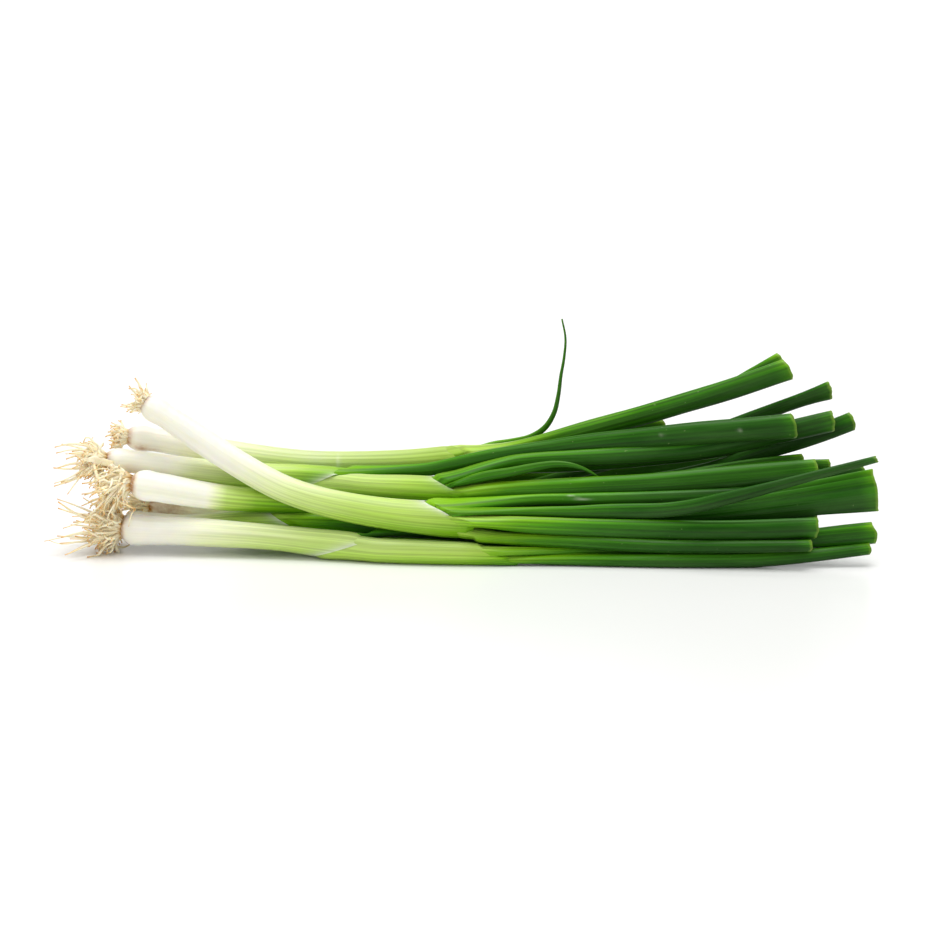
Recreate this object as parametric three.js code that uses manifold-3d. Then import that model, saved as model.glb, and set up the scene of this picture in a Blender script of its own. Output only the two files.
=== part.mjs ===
import * as THREE from "three";
import { mergeVertices } from "three/addons/utils/BufferGeometryUtils.js";
import Module from "manifold-3d";

// A bunch of seven trimmed spring onions lying in a loose heap, in mm, +Z up.
// Roots lie towards -X, the cut leaves towards +X.
const gap = 0.4; // clear space kept between neighbouring pieces
const wall = 0.8; // wall of a hollow leaf and of a sheath round its mouth
const stationStep = 5; // distance between the stations at which the heap is settled
const stemSides = 12;
const leafSides = 8;
const rootSides = 3;
const cupDepth = 9; // how far the leaf bases sit inside the sheath mouth
const hollowDepth = 26; // how far a cut leaf is hollow from its cut end
const rootRadius = 0.5;
const rootSteps = 3;
const sink = 0.25; // how far the lowest pieces press into the surface
const pressed = 0.35; // what is lower than this is flattened onto the surface

const wasm = await Module();
wasm.setup();

const vec = (x, y, z) => new THREE.Vector3(x, y, z);
const mix = THREE.MathUtils.lerp;
const ease = (t) => THREE.MathUtils.smoothstep(t, 0, 1);

function seededRandom(seed) {
  let s = seed >>> 0;
  return () => {
    s = (s + 0x6d2b79f5) >>> 0;
    let t = Math.imul(s ^ (s >>> 15), 1 | s);
    t = (t + Math.imul(t ^ (t >>> 7), 61 | t)) ^ t;
    return ((t ^ (t >>> 14)) >>> 0) / 4294967296;
  };
}

// The onions. A shaft (the stem, or a neck that comes out of it) has points [x, y, z, radius] and
// opens in a mouth: lean is the side (degrees from straight up) on which the sheath reaches
// furthest, skew how far. What comes out of a mouth is listed in inside, from the top down; share
// is the part of the mouth it takes. A leaf point is [x, y, z, half height, half depth]; tip closes
// a leaf to a point instead of a hollow cut end.
const onions = [
  {
    name: "onion_1",
    points: [
      [-139, 30, 65, 4.8], [-130, 28, 59.5, 5.3], [-120, 27, 53, 5.8], [-98, 23, 39, 5.9],
      [-76, 16, 28.5, 6], [-49, 10, 22.5, 6.3], [-23, 6, 19, 6.8], [-9, 5, 17.5, 7],
    ],
    mouth: { lean: 200, skew: 6 },
    roots: { count: 16, reach: [5, 10], splay: 1.1, aim: [-0.4, -0.5, 0], seed: 11 },
    inside: [
      { share: 0.8, points: [[16, 9, 25, 2.4, 1.9], [59, 7, 27, 2.3, 1.8], [102, 5, 29, 2.3, 1.7],
        [127, 6, 31, 2.2, 1.7], [152, 8, 35, 2.1, 1.6], [172.5, 8, 39.9, 2, 1.5]] },
      { share: 0.8, points: [[16, 3, 22, 1.5, 1.5], [59, 0, 23, 2.6, 1.4], [92, -4, 25, 2.5, 1.4],
        [117, -8, 32, 2.4, 1.4], [142, -9, 39, 1.9, 1.3], [175, -9, 48, 1.4, 1.2]] },
      { share: 1.2, points: [[16, 1, 17, 3.3, 2.4], [42, -1, 16, 3.6, 2.4], [80, -3, 15.5, 3.9, 2.4],
        [118, -5, 16, 4.1, 2.4], [151.5, -7, 17.6, 4.1, 2.3]] },
      { share: 1.2, points: [[16, 2, 10, 3, 2.4], [42, -1, 9.5, 2.8, 2.4], [80, -5, 9, 2.6, 2.3],
        [118, -8, 9.5, 2.5, 2.3], [148.5, -10, 10.6, 2.3, 2.2]] },
    ],
  },
  {
    name: "onion_2",
    points: [
      [-148, 39, 48, 4.7], [-138, 41, 46.5, 5.1], [-121, 44, 43, 5.6], [-99, 47, 38.5, 5.6],
      [-73, 48, 35, 5.3], [-46, 48, 34.5, 5.2], [-19, 46, 36, 5.4], [-2, 43, 38, 5.6],
    ],
    mouth: { lean: 180, skew: 3 },
    roots: { count: 13, reach: [4, 9], splay: 0.6, aim: [-0.6, -0.1, 0], seed: 23 },
    inside: [
      { share: 0.5, tip: true, points: [[12, 47, 43, 1.5, 1.4], [29, 44, 46, 1.7, 1.6],
        [37, 41, 52, 1.5, 1.4], [41.5, 38, 63, 1.1, 1.1], [42, 37, 71.5, 0.9, 0.8],
        [44, 36, 83, 0.7, 0.7], [45, 36, 92, 0.6, 0.6], [43, 36, 101, 0.4, 0.4]] },
      { share: 1.2, points: [[11, 40, 40.5, 1.6, 2.2], [26, 36, 44, 2.6, 2.2], [60, 36, 53, 3.9, 2.5],
        [104, 35, 66, 4.2, 2.6], [143, 35, 79.2, 4.6, 2.7]] },
      { share: 0.8, points: [[34, 50, 42, 2.3, 1.6], [60, 50, 49, 2.5, 1.6],
        [78, 50, 55, 2.6, 1.6], [113, 48, 69.5, 2.6, 1.6], [140.5, 45, 82.8, 2.7, 1.5]] },
      { share: 0.6, points: [[20, 43, 38.5, 1.9, 1.9], [60, 42, 46, 2.3, 1.9], [89, 40, 51.5, 2.3, 1.8]] },
      { share: 0.8, points: [[20, 35, 35.5, 2.3, 1.7], [60, 29, 38, 2.6, 1.7], [77, 28, 39.5, 2.6, 1.7],
        [103, 27, 42, 2.6, 1.6], [129, 26, 46, 2.4, 1.6], [146, 25, 48, 2.2, 1.5]] },
      { share: 0.6, points: [[10, 46, 33, 1.4, 1.5], [26, 50, 30.5, 2.2, 1.7], [60, 51, 28.5, 2.7, 1.7], [104, 51, 33, 2.8, 1.7],
        [132, 49, 38.5, 2.5, 1.6]] },
    ],
  },
  {
    name: "onion_3",
    points: [
      [-156, 27, 40, 4.5], [-146, 29, 39, 4.9], [-129, 32, 36, 5.1], [-111, 35, 33, 5.4],
      [-90, 36, 31, 5.8], [-72, 35, 30.5, 5.9], [-59, 33, 30, 5.9],
    ],
    mouth: { lean: 180, skew: 3 },
    roots: { count: 18, reach: [12, 26], splay: 0.5, aim: [-0.8, -0.3, -0.25], seed: 37 },
    inside: [
      { share: 0.5, points: [[-37, 34, 34.5, 1.9, 1.9], [-19, 32, 36, 2, 1.9],
        [-2, 30, 39.5, 2.3, 2], [16, 28, 43.5, 2.4, 2.1], [42, 27, 47, 3, 2.3],
        [60, 25, 49.5, 3.6, 2.5], [103, 22, 54.5, 4.1, 2.7], [143.5, 20, 59.3, 4.5, 2.8]] },
      {
        share: 1.5,
        points: [[-46, 29, 28.5, 4.8], [-36, 26, 28.5, 5.1], [-19, 22, 29, 5.3], [-9, 20, 29, 5.4]],
        mouth: { lean: 180, skew: 4 },
        inside: [
          { share: 0.9, points: [[16, 22, 39, 2, 1.7], [42, 21, 41.5, 2.1, 1.7],
            [59, 20, 42.5, 2.4, 1.8], [103, 18, 46, 2.6, 1.9], [128, 16, 51, 3.3, 2],
            [160.5, 14, 59.4, 4, 2.1]] },
          { share: 0.6, tip: true, points: [[7, 16, 34.5, 1.4, 1.2], [16, 14.5, 36, 1.4, 1.1],
            [33, 13, 40, 1.5, 1], [42.5, 12, 41.5, 1.4, 0.9], [50.5, 12, 40, 0.9, 0.8],
            [55, 12.5, 38, 0.6, 0.6], [58.5, 13, 35.5, 0.4, 0.4]] },
          { share: 1.4, points: [[16, 15, 29.5, 3.3, 2.5], [42, 12, 31, 3.7, 2.5],
            [81, 10, 33.5, 4.1, 2.5], [119, 8, 37, 4.3, 2.5], [152, 5, 40.6, 4.1, 2.4]] },
        ],
      },
    ],
  },
  {
    name: "onion_4",
    points: [
      [-144, 18, 31.5, 5], [-137, 18, 30.5, 6.3], [-129, 19, 29, 6.3], [-115, 21, 26, 6],
      [-98, 23, 23.5, 5.4], [-76, 25, 21.5, 4.9], [-54, 27, 19.5, 4.7], [-28, 26, 18, 4.8],
    ],
    mouth: { lean: 180, skew: 3 },
    roots: { count: 18, reach: [14, 28], splay: 0.5, aim: [-0.6, -0.4, -0.5], seed: 41 },
    inside: [
      { share: 0.8, points: [[25, 28, 23, 1.9, 1.6], [69, 23, 29.5, 1.9, 1.5], [112, 19, 35.5, 1.9, 1.4],
        [137, 16, 39, 1.9, 1.3], [159, 15, 40, 1.8, 1.3]] },
      { share: 0.8, points: [[-2, 29, 20, 1.4, 1.5], [25, 31, 20.5, 2.1, 1.6],
        [69, 28, 28, 2.1, 1.5], [112, 25, 36, 2.2, 1.5], [148, 21, 41, 2.1, 1.4]] },
      { share: 1.2, points: [[-6, 22, 16.5, 2.8, 2.2], [16, 18, 18.5, 3.2, 2.2], [42, 13, 19.5, 3.4, 2],
        [68, 8, 20, 3.6, 1.9], [93, 5, 21, 4, 1.8], [119, 2, 24.5, 5.6, 1.6],
        [144, 1, 28, 7, 1.5], [177, 0, 32.8, 8.4, 1.4]] },
    ],
  },
  {
    name: "onion_5",
    points: [
      [-140, 43, 15.5, 4.6], [-131, 44, 14, 5], [-109, 44, 10.5, 5], [-85, 43, 6, 4.8],
      [-65, 42, 4.6, 4.8], [-40, 40, 4.5, 4.7], [-28, 39, 5, 4.7],
    ],
    mouth: { lean: 180, skew: 2 },
    roots: { count: 11, reach: [10, 20], splay: 0.5, aim: [-0.8, 0, -0.1], seed: 53 },
    inside: [
      { share: 0.8, points: [[25, 45, 23, 1.9, 1.5], [70, 45, 36, 1.8, 1.3], [105, 43, 47, 1.7, 1.2],
        [131, 40, 57.5, 1.8, 1.2], [147, 38, 63.5, 2.3, 1.2], [161.5, 36, 69, 3.3, 1.2]] },
      { share: 1, points: [[25, 37, 18, 2.8, 2], [69, 34, 27, 3, 2], [104, 30, 34, 3.2, 2],
        [129, 25, 44, 3.5, 2], [151, 23, 51.5, 3.7, 2], [169.5, 22, 59, 3.8, 1.9]] },
      { share: 1, points: [[25, 33, 13, 2.6, 1.8], [69, 31, 21, 2.6, 1.7], [103, 29, 28, 2.6, 1.6],
        [133, 27, 36, 2.4, 1.5]] },
    ],
  },
  {
    name: "onion_6",
    points: [
      [-149, 20, 11, 5.4], [-141, 19.5, 10.5, 6.4], [-115, 17, 10, 6.1], [-88, 14, 9, 5.6],
      [-71, 12, 8, 5.6], [-56, 9, 7.2, 6],
    ],
    mouth: { lean: 0, skew: 4 },
    roots: { count: 22, reach: [14, 34], splay: 0.45, aim: [-1, -0.4, -0.1], seed: 61 },
    inside: [
      { share: 0.45, points: [[-40, 13, 11.5, 1.7, 1.8], [-27, 14, 11, 1.7, 1.8], [-6, 15, 9.5, 2, 2],
        [25, 15, 9, 2.4, 2.2], [60, 12, 12, 2.8, 2.2], [102, 8, 16, 3, 2], [128, 5, 18, 3.4, 1.9],
        [152, 4, 19, 3.7, 1.8]] },
      {
        share: 1.55,
        points: [[-40, 4, 5.2, 5.1], [-27, 2, 5.1, 5.3], [-6, 0, 5, 5.2], [12, -1, 4.6, 4.7]],
        mouth: { lean: 180, skew: 3 },
        inside: [
          { share: 1, points: [[42, 0, 6, 2.5, 2.2], [67, 1, 6, 2.5, 2.2], [101, 0, 8, 3, 2.3],
            [127, -1, 9.5, 3.6, 2.4], [153, -2, 12, 4.1, 2.4], [177, -2, 14.2, 4.6, 2.3]] },
          { share: 1, points: [[42, -1, 2.5, 2, 2.4], [59, -3, 2.2, 2.2, 2.4], [84, -5, 2.2, 2.2, 2.4],
            [118, -6, 2.4, 2.4, 2.4], [144, -5, 3.8, 2.3, 2.3], [174.5, -3, 7, 2.2, 2]] },
        ],
      },
    ],
  },
  {
    name: "onion_7",
    points: [
      [-150, 33, 10, 5], [-139, 33, 9.5, 5.7], [-116, 32, 8, 5.6], [-96, 29, 8.5, 5.3],
      [-87, 28, 8.5, 5.3],
    ],
    mouth: { lean: 0, skew: 3 },
    roots: { count: 12, reach: [12, 24], splay: 0.5, aim: [-1, -0.1, 0.2], seed: 73 },
    inside: [
      {
        share: 1.2,
        points: [[-72, 24, 11, 4.2], [-50, 22, 12, 4.3], [-23, 20, 12, 4.3]],
        mouth: { lean: 180, skew: 2 },
        inside: [
          { share: 1, points: [[25, 18, 15, 2.6, 2], [68, 15, 16, 2.8, 2], [111, 11, 18, 3, 2],
            [146, 10, 18, 3, 1.9]] },
          { share: 1, points: [[25, 23, 10, 2.8, 2.2], [69, 23, 12, 3, 2.2], [112, 20, 17, 3, 2.1],
            [147, 16, 24, 3, 2], [162, 15, 27, 3, 1.9]] },
        ],
      },
      { share: 0.8, points: [[-60, 31, 4.5, 2.8, 2.6], [-28, 31, 2.8, 2.8, 2.8], [16, 31, 2.6, 2.8, 3],
        [60, 30, 2.6, 2.8, 3], [103, 29, 2.6, 2.8, 3], [137, 28, 2.8, 2.6, 2.8]] },
    ],
  },
];

// A rod is a tube still to be settled: its stations carry a centre, two half widths, the two
// directions these are measured in, and the tangent.
function layFrames(stations, start) {
  const last = stations.length - 1;
  let up = start.clone();
  stations.forEach((s, i) => {
    s.along = stations[Math.min(i + 1, last)].at
      .clone()
      .sub(stations[Math.max(i - 1, 0)].at)
      .normalize();
    up = up.addScaledVector(s.along, -up.dot(s.along)).normalize();
    s.up = up.clone();
    s.side = s.along.clone().cross(up);
  });
}

// The stations of a rod along its control points. Half widths run evenly from point to point,
// but swell early on the stretch that leaves a mouth.
function layRod(points, start, early = -1) {
  const curve = new THREE.CatmullRomCurve3(
    points.map((p) => vec(p[0], p[1], p[2])),
    false,
    "centripetal",
  );
  const count = Math.max(4, Math.round(curve.getLength() / stationStep));
  const stations = [];
  for (let i = 0; i <= count; i++) {
    const t = curve.getUtoTmapping(i / count);
    const slot = Math.min(t * (points.length - 1), points.length - 1.0001);
    const k = Math.floor(slot);
    const f = k === early ? 1 - (1 - slot + k) ** 2 : slot - k;
    const [p, q] = [points[k], points[k + 1]];
    stations.push({
      at: curve.getPoint(t),
      a: mix(p[3], q[3], f),
      b: mix(p[4] ?? p[3], q[4] ?? q[3], f),
      hold: 0,
    });
  }
  layFrames(stations, start);
  stations.curve = curve;
  return stations;
}

// How far a section reaches from its centre in direction n.
const reachOf = (s, n) => Math.hypot(s.a * n.dot(s.up), s.b * n.dot(s.side));

// The smallest push that would part two sections, or null if they are clear of each other.
// A push in depth or across is preferred to one up or down.
function partingPush(p, q, spare) {
  const apart = p.at.clone().sub(q.at);
  const along = p.along.clone().add(q.along).normalize();
  const u = vec(0, 0, 1).addScaledVector(along, -along.z).normalize();
  const v = along.clone().cross(u);
  let best = null;
  for (let k = 0; k < 24; k++) {
    const angle = (k * Math.PI) / 12;
    const n = u.clone().multiplyScalar(Math.cos(angle)).addScaledVector(v, Math.sin(angle));
    const lack = reachOf(p, n) + reachOf(q, n) + spare - n.dot(apart);
    if (lack <= 0) return null;
    const cost = lack * (1 + 0.8 * Math.abs(n.z));
    if (!best || cost < best.cost) best = { cost, lack, n };
  }
  return best;
}

// Nearest section of a rod to a point, taken between its stations.
function nearestSection(rod, at) {
  let best = null;
  for (let i = 0; i + 1 < rod.stations.length; i++) {
    const [s, e] = [rod.stations[i], rod.stations[i + 1]];
    if (Math.abs(s.at.x - at.x) > 14) continue;
    const d = e.at.clone().sub(s.at);
    const f = THREE.MathUtils.clamp(at.clone().sub(s.at).dot(d) / d.lengthSq(), 0, 1);
    const far = s.at.clone().addScaledVector(d, f).distanceTo(at);
    if (!best || far < best.far) best = { far, i, f };
  }
  if (!best || best.far > 16) return null;
  const [s, e] = [rod.stations[best.i], rod.stations[best.i + 1]];
  return {
    i: best.i,
    f: best.f,
    at: s.at.clone().lerp(e.at, best.f),
    a: mix(s.a, e.a, best.f),
    b: mix(s.b, e.b, best.f),
    up: s.up,
    side: s.side,
    along: s.along,
  };
}

// A section still pressed by its neighbour gives way a little on the side it is pressed from.
function squeeze(s, n) {
  const flat = Math.abs(n.dot(s.up)) * s.a > Math.abs(n.dot(s.side)) * s.b ? "a" : "b";
  s[flat] = Math.max(s[flat] * 0.98, Math.min(s[flat], 0.9));
}

// Rods that lie through each other are moved apart a little at a time, and each rod's
// shift is smoothed along its length, so it stays an even curve. held rods don't move.
function settle(rods, held, rounds) {
  for (const rod of rods) rod.home = rod.stations.map((s) => s.at.clone());
  for (const rod of rods) rod.shift = rod.stations.map(() => vec(0, 0, 0));
  for (let round = 0; round < rounds; round++) {
    const push = new Map(rods.map((rod) => [rod, rod.stations.map(() => vec(0, 0, 0))]));
    for (const rod of rods)
      for (const other of [...rods, ...held]) {
        if (other === rod) continue;
        rod.stations.forEach((s, i) => {
          if (s.hold >= 1) return;
          if (other === rod.from && i <= rod.seated) return;
          if (other.from === rod.from && rod.from && i <= rod.seated) return;
          const near = nearestSection(other, s.at);
          if (!near) return;
          const parting = partingPush(s, near, gap + 0.15);
          if (!parting) return;
          const part = held.includes(other) ? 1 : 0.5;
          push.get(rod)[i].addScaledVector(parting.n, parting.lack * part * 0.6);
          if (round > rounds * 0.6) squeeze(s, parting.n);
        });
      }
    for (const rod of rods) {
      const moves = push.get(rod);
      rod.shift.forEach((d, i) => d.addScaledVector(moves[i], 1 - rod.stations[i].hold));
      const smooth = round < rounds * 0.8 ? 0.5 : 0.15;
      const before = rod.shift.map((d) => d.clone());
      rod.shift.forEach((d, i) => {
        const l = before[Math.max(i - 1, 0)];
        const r = before[Math.min(i + 1, before.length - 1)];
        d.lerp(l.clone().add(r).multiplyScalar(0.5), smooth * (1 - rod.stations[i].hold));
      });
      rod.stations.forEach((s, i) => {
        s.at.copy(rod.home[i]).add(rod.shift[i]);
        const low = reachOf(s, vec(0, 0, 1)) - sink;
        if (s.at.z < low && s.hold < 1) {
          rod.shift[i].z += low - s.at.z;
          s.at.z = low;
        }
      });
      layFrames(rod.stations, rod.start);
    }
  }
}

// Section of a rod at a share f of its length.
function sectionAt(stations, f) {
  const slot = THREE.MathUtils.clamp(f, 0, 1) * (stations.length - 1);
  const i = Math.min(Math.floor(slot), stations.length - 2);
  const [s, e] = [stations[i], stations[i + 1]];
  const t = slot - i;
  const curve = stations.curve;
  return {
    at: curve.getPoint(slot / (stations.length - 1)),
    a: mix(s.a, e.a, t),
    b: mix(s.b, e.b, t),
    up: s.up.clone().lerp(e.up, t).normalize(),
    side: s.side.clone().lerp(e.side, t).normalize(),
    along: s.along.clone().lerp(e.along, t).normalize(),
  };
}

// A closed skin over rings of equal count, with a pole at each end. What would sink below the
// surface the bunch lies on is pressed flat against it.
function skin(rings, sides) {
  const points = [];
  const faces = [];
  const centre = (ring) =>
    ring.reduce((sum, p) => sum.add(p), vec(0, 0, 0)).divideScalar(ring.length);
  rings.forEach((ring) => ring.forEach((p) => points.push(p)));
  for (let r = 0; r + 1 < rings.length; r++)
    for (let k = 0; k < sides; k++) {
      const [a, b] = [r * sides + k, r * sides + ((k + 1) % sides)];
      faces.push(a, b, b + sides, a, b + sides, a + sides);
    }
  for (const [ring, base, turn] of [
    [rings[0], 0, true],
    [rings.at(-1), (rings.length - 1) * sides, false],
  ]) {
    const pole = points.push(centre(ring)) - 1;
    for (let k = 0; k < sides; k++) {
      const [a, b] = [base + k, base + ((k + 1) % sides)];
      faces.push(...(turn ? [b, a, pole] : [a, b, pole]));
    }
  }
  const positions = points.flatMap((p) => [p.x, p.y, p.z < pressed ? 0 : p.z]);
  const g = new THREE.BufferGeometry();
  g.setAttribute("position", new THREE.Float32BufferAttribute(positions, 3));
  g.setIndex(faces);
  return g;
}

// One ring of a section: inset draws it in, ahead(angle) moves a point along the rod.
function ringOf(s, sides, inset, ahead) {
  const a = Math.max(s.a - inset, 0.35);
  const b = Math.max(s.b - inset, 0.35);
  const ring = [];
  for (let k = 0; k < sides; k++) {
    const angle = ((k + 0.5) * 2 * Math.PI) / sides;
    ring.push(
      s.at
        .clone()
        .addScaledVector(s.up, a * Math.cos(angle))
        .addScaledVector(s.side, b * Math.sin(angle))
        .addScaledVector(s.along, ahead(angle)),
    );
  }
  return ring;
}

// The seats of what comes out of a mouth: thin sections stacked from its top down, clear of the
// sheath wall and of each other, then the control points of the rod that starts there.
function seatRods(parent, mouth, inside) {
  const end = parent.stations.at(-1);
  const length = parent.stations.curve.getLength();
  const room = (Math.min(end.a, end.b) - wall) * Math.cos(Math.PI / stemSides) - gap;
  const total = inside.reduce((sum, item) => sum + item.share, 0);
  let top = room;
  return inside.map((item) => {
    const pitch = (2 * room * item.share) / total;
    const v = top - pitch / 2;
    top -= pitch;
    const a = pitch / 2 - gap;
    let b = room;
    for (let k = 1; k < 16; k++) {
      const angle = (k * Math.PI) / 16;
      const height = v + a * Math.cos(angle);
      b = Math.min(b, Math.sqrt(Math.max(room ** 2 - height ** 2, 0.01)) / Math.sin(angle));
    }
    b = Math.min(b * 0.97, 4.6);
    const seat = (depth) => {
      const s = sectionAt(parent.stations, 1 - Math.max(depth, 0) / length);
      const at = s.at.addScaledVector(s.up, v).addScaledVector(s.along, Math.max(-depth, 0));
      return [at.x, at.y, at.z, a, b];
    };
    const reach = mouth.skew + 4;
    const points = [seat(cupDepth - 1), seat(cupDepth / 2), seat(0), seat(-reach), ...item.points];
    const rod = { from: parent, item, start: end.up.clone() };
    rod.stations = layRod(points, rod.start, 3);
    const step = rod.stations.curve.getLength() / (rod.stations.length - 1);
    rod.seated = Math.ceil((cupDepth + mouth.skew + 1) / step);
    rod.stations.forEach((s, i) => {
      s.hold = 1 - ease((i * step - cupDepth - mouth.skew) / 7);
    });
    return rod;
  });
}

const curveOf = (stations) => new THREE.CatmullRomCurve3(stations.map((s) => s.at), false, "centripetal");

// Stems first, then the necks out of them, then all the leaves, each settled against the last.
const shafts = [];
for (const onion of onions) {
  const rod = { name: `${onion.name}_stem`, onion, item: onion, start: vec(0, 0, 1) };
  rod.stations = layRod(onion.points, rod.start);
  shafts.push(rod);
}
settle(shafts, [], 60);
const stems = [...shafts];
for (const rod of stems) rod.stations.curve = curveOf(rod.stations);
const leaves = [];
const seatAll = (shaft) => {
  for (const rod of seatRods(shaft, shaft.item.mouth, shaft.item.inside)) {
    rod.onion = shaft.onion;
    if (rod.item.mouth) {
      rod.name = `${rod.onion.name}_neck`;
      shafts.push(rod);
    } else leaves.push(rod);
  }
};
stems.forEach(seatAll);
const necks = shafts.slice(stems.length);
settle(necks, stems, 60);
for (const rod of necks) rod.stations.curve = curveOf(rod.stations);
necks.forEach(seatAll);
for (const onion of onions)
  leaves
    .filter((rod) => rod.onion === onion)
    .forEach((rod, k) => (rod.name = `${onion.name}_leaf_${k + 1}`));
settle(leaves, shafts, 110);
for (const rod of leaves) rod.stations.curve = curveOf(rod.stations);

// A shaft: rounded at its base, open at its mouth as far down as the leaves are seated.
function shaftGeometry(rod) {
  const { stations, item } = rod;
  const length = stations.curve.getLength();
  const count = Math.max(8, Math.round(length / 9));
  const lean = (item.mouth.lean * Math.PI) / 180;
  const rings = [];
  const ring = (d, inset) => {
    const slant = item.mouth.skew * ease((d - length + cupDepth) / cupDepth);
    const s = sectionAt(stations, d / length);
    rings.push(ringOf(s, stemSides, inset, (angle) => slant * Math.cos(angle - lean)));
  };
  ring(0, rod.from ? 0 : stations[0].a * 0.26);
  ring(1.2, rod.from ? 0 : stations[0].a * 0.07);
  for (let k = 1; k <= count; k++) ring(mix(3.5, length, k / count), 0);
  ring(length, wall);
  ring(length - cupDepth * 0.5, wall);
  ring(length - cupDepth, wall);
  return skin(rings, stemSides);
}

// A leaf: solid, with a waved slanting cut end that is hollow, or running out to a point.
function leafGeometry(rod) {
  const { stations, item } = rod;
  const length = stations.curve.getLength();
  const random = seededRandom(rod.name.length * 97 + Math.round(length * 10));
  const slantAt = random() * 6.28;
  const slant = item.tip ? 0 : Math.min(1.3, 0.4 * stations.at(-1).a);
  const waveAt = random() * 6.28;
  const rings = [];
  const ring = (d, inset) => {
    const near = ease((d - length + 8) / 8);
    rings.push(
      ringOf(sectionAt(stations, d / length), leafSides, inset, (angle) =>
        near * (slant * Math.cos(angle - slantAt) + 0.35 * Math.sin(3 * angle + waveAt)),
      ),
    );
  };
  const count = Math.max(12, Math.round(length / 13));
  for (let k = 0; k <= count; k++) ring((length * k) / count, 0);
  if (!item.tip) for (const d of [0, 5, hollowDepth / 2, hollowDepth]) ring(length - d, wall);
  return skin(rings, leafSides);
}

const solidOf = (g) => {
  const merged = mergeVertices(g, 1e-4);
  return new wasm.Manifold(
    new wasm.Mesh({
      numProp: 3,
      vertProperties: merged.attributes.position.array,
      triVerts: new Uint32Array(merged.index.array),
    }),
  );
};

const geometryOf = (solid) => {
  const m = solid.getMesh();
  const g = new THREE.BufferGeometry();
  g.setAttribute("position", new THREE.BufferAttribute(new Float32Array(m.vertProperties), 3));
  return g.setIndex(new THREE.BufferAttribute(new Uint32Array(m.triVerts), 1));
};

// Roots already grown, as balls along them, and the tuft each belongs to.
const grown = [];

// A point of a root is free if it clears every shaft, the roots of other tufts and the surface.
function isFree(at, stem, tuft, plateAt, out) {
  if (at.z < rootRadius + 0.1) return false;
  for (const rod of shafts) {
    if (rod === stem && at.clone().sub(plateAt).dot(out) > 0) continue;
    for (const s of rod.stations) {
      if (Math.abs(s.at.x - at.x) > 12) continue;
      const d = at.clone().sub(s.at);
      const l = THREE.MathUtils.clamp(d.dot(s.along), -stationStep * 0.6, stationStep * 0.6);
      if (d.addScaledVector(s.along, -l).length() < s.a + rootRadius + gap + 0.1) return false;
    }
  }
  const clear = 2 * rootRadius + gap + 0.2;
  const beside = at.distanceTo(plateAt) > 7 ? 2 * rootRadius : 0;
  return !grown.some((g) => g.at.distanceTo(at) < (g.tuft === tuft ? beside : clear));
}

// A root tuft: a low round plate just off the stem's base, and tapering three-sided roots that
// wander out of it, each tried again with another wander until it lies free.
function rootTuft(stem) {
  const { count, reach, splay, aim, seed } = stem.onion.roots;
  const random = seededRandom(seed);
  const spread = () => random() * 2 - 1;
  const first = stem.stations[0];
  const out = first.along.clone().negate();
  const plateAt = first.at.clone().addScaledVector(out, gap);
  const disc = (d, r) =>
    ringOf({ ...first, at: plateAt.clone().addScaledVector(out, d), a: r, b: r }, stemSides, 0, () => 0);
  const r = first.a * 0.74;
  let tuft = solidOf(skin([disc(2.2, r * 0.62), disc(1.1, r * 0.92), disc(0, r)], stemSides));
  const parts = [tuft];
  for (let n = 0; n < count; n++)
    for (let tries = 0; tries < 160; tries++) {
      const turn = random() * 6.28;
      const off = r * 0.72 * Math.sqrt(random());
      const radial = first.up
        .clone()
        .multiplyScalar(Math.cos(turn))
        .addScaledVector(first.side, Math.sin(turn));
      const from = plateAt.clone().addScaledVector(out, 0.9).addScaledVector(radial, off);
      const heading = out.clone().addScaledVector(radial, splay * (0.4 + random()));
      const length = mix(reach[0], reach[1], random() ** 1.5);
      const knots = [from, from.clone().addScaledVector(heading.normalize(), 2.2)];
      const pull = vec(...aim).addScaledVector(vec(spread(), spread(), spread()), 0.5);
      for (let k = 0; k < 3; k++) {
        heading.addScaledVector(pull, 0.4).addScaledVector(vec(spread(), spread(), spread()), 0.45);
        knots.push(knots.at(-1).clone().addScaledVector(heading.normalize(), (length - 2) / 3));
      }
      const path = new THREE.CatmullRomCurve3(knots, false, "centripetal");
      const balls = path.getSpacedPoints(Math.ceil(length / 1.3));
      if (!balls.slice(1).every((at) => isFree(at, stem, seed, plateAt, out))) continue;
      const stations = path.getSpacedPoints(rootSteps).map((at) => ({ at }));
      layFrames(stations, radial);
      const rings = stations.map((s, k) => {
        s.a = s.b = rootRadius * mix(1, 0.6, k / rootSteps);
        return ringOf(s, rootSides, 0, () => 0);
      });
      parts.push(solidOf(skin(rings, rootSides)));
      balls.forEach((at) => grown.push({ at, tuft: seed }));
      break;
    }
  const bodies = wasm.Manifold.union(parts).decompose();
  return geometryOf(bodies.sort((p, q) => q.volume() - p.volume())[0]);
}

const paint = (color, roughness) =>
  new THREE.MeshStandardMaterial({ color, roughness, metalness: 0 });
const heap = new THREE.Group();
const add = (name, geometry, material) => {
  const mesh = new THREE.Mesh(geometry, material);
  mesh.name = name;
  heap.add(mesh);
};
for (const stem of stems) {
  const name = stem.onion.name;
  add(stem.name, shaftGeometry(stem), paint(0xe9e6c8, 0.35));
  for (const rod of necks.filter((n) => n.onion === stem.onion))
    add(rod.name, shaftGeometry(rod), paint(0xb5c46a, 0.4));
  for (const rod of leaves.filter((l) => l.onion === stem.onion))
    add(rod.name, leafGeometry(rod), paint(0x4f7a2c, 0.5));
  add(`${name}_roots`, rootTuft(stem), paint(0xc8ac7e, 0.8));
}

// The origin is the middle of the heap's footprint, on the surface it lies on.
const box = new THREE.Box3().setFromObject(heap);
const middle = box.getCenter(vec(0, 0, 0));
heap.userData.middle = [middle.x, middle.y];
for (const mesh of heap.children) mesh.geometry.translate(-middle.x, -middle.y, 0);

export default heap;
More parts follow.
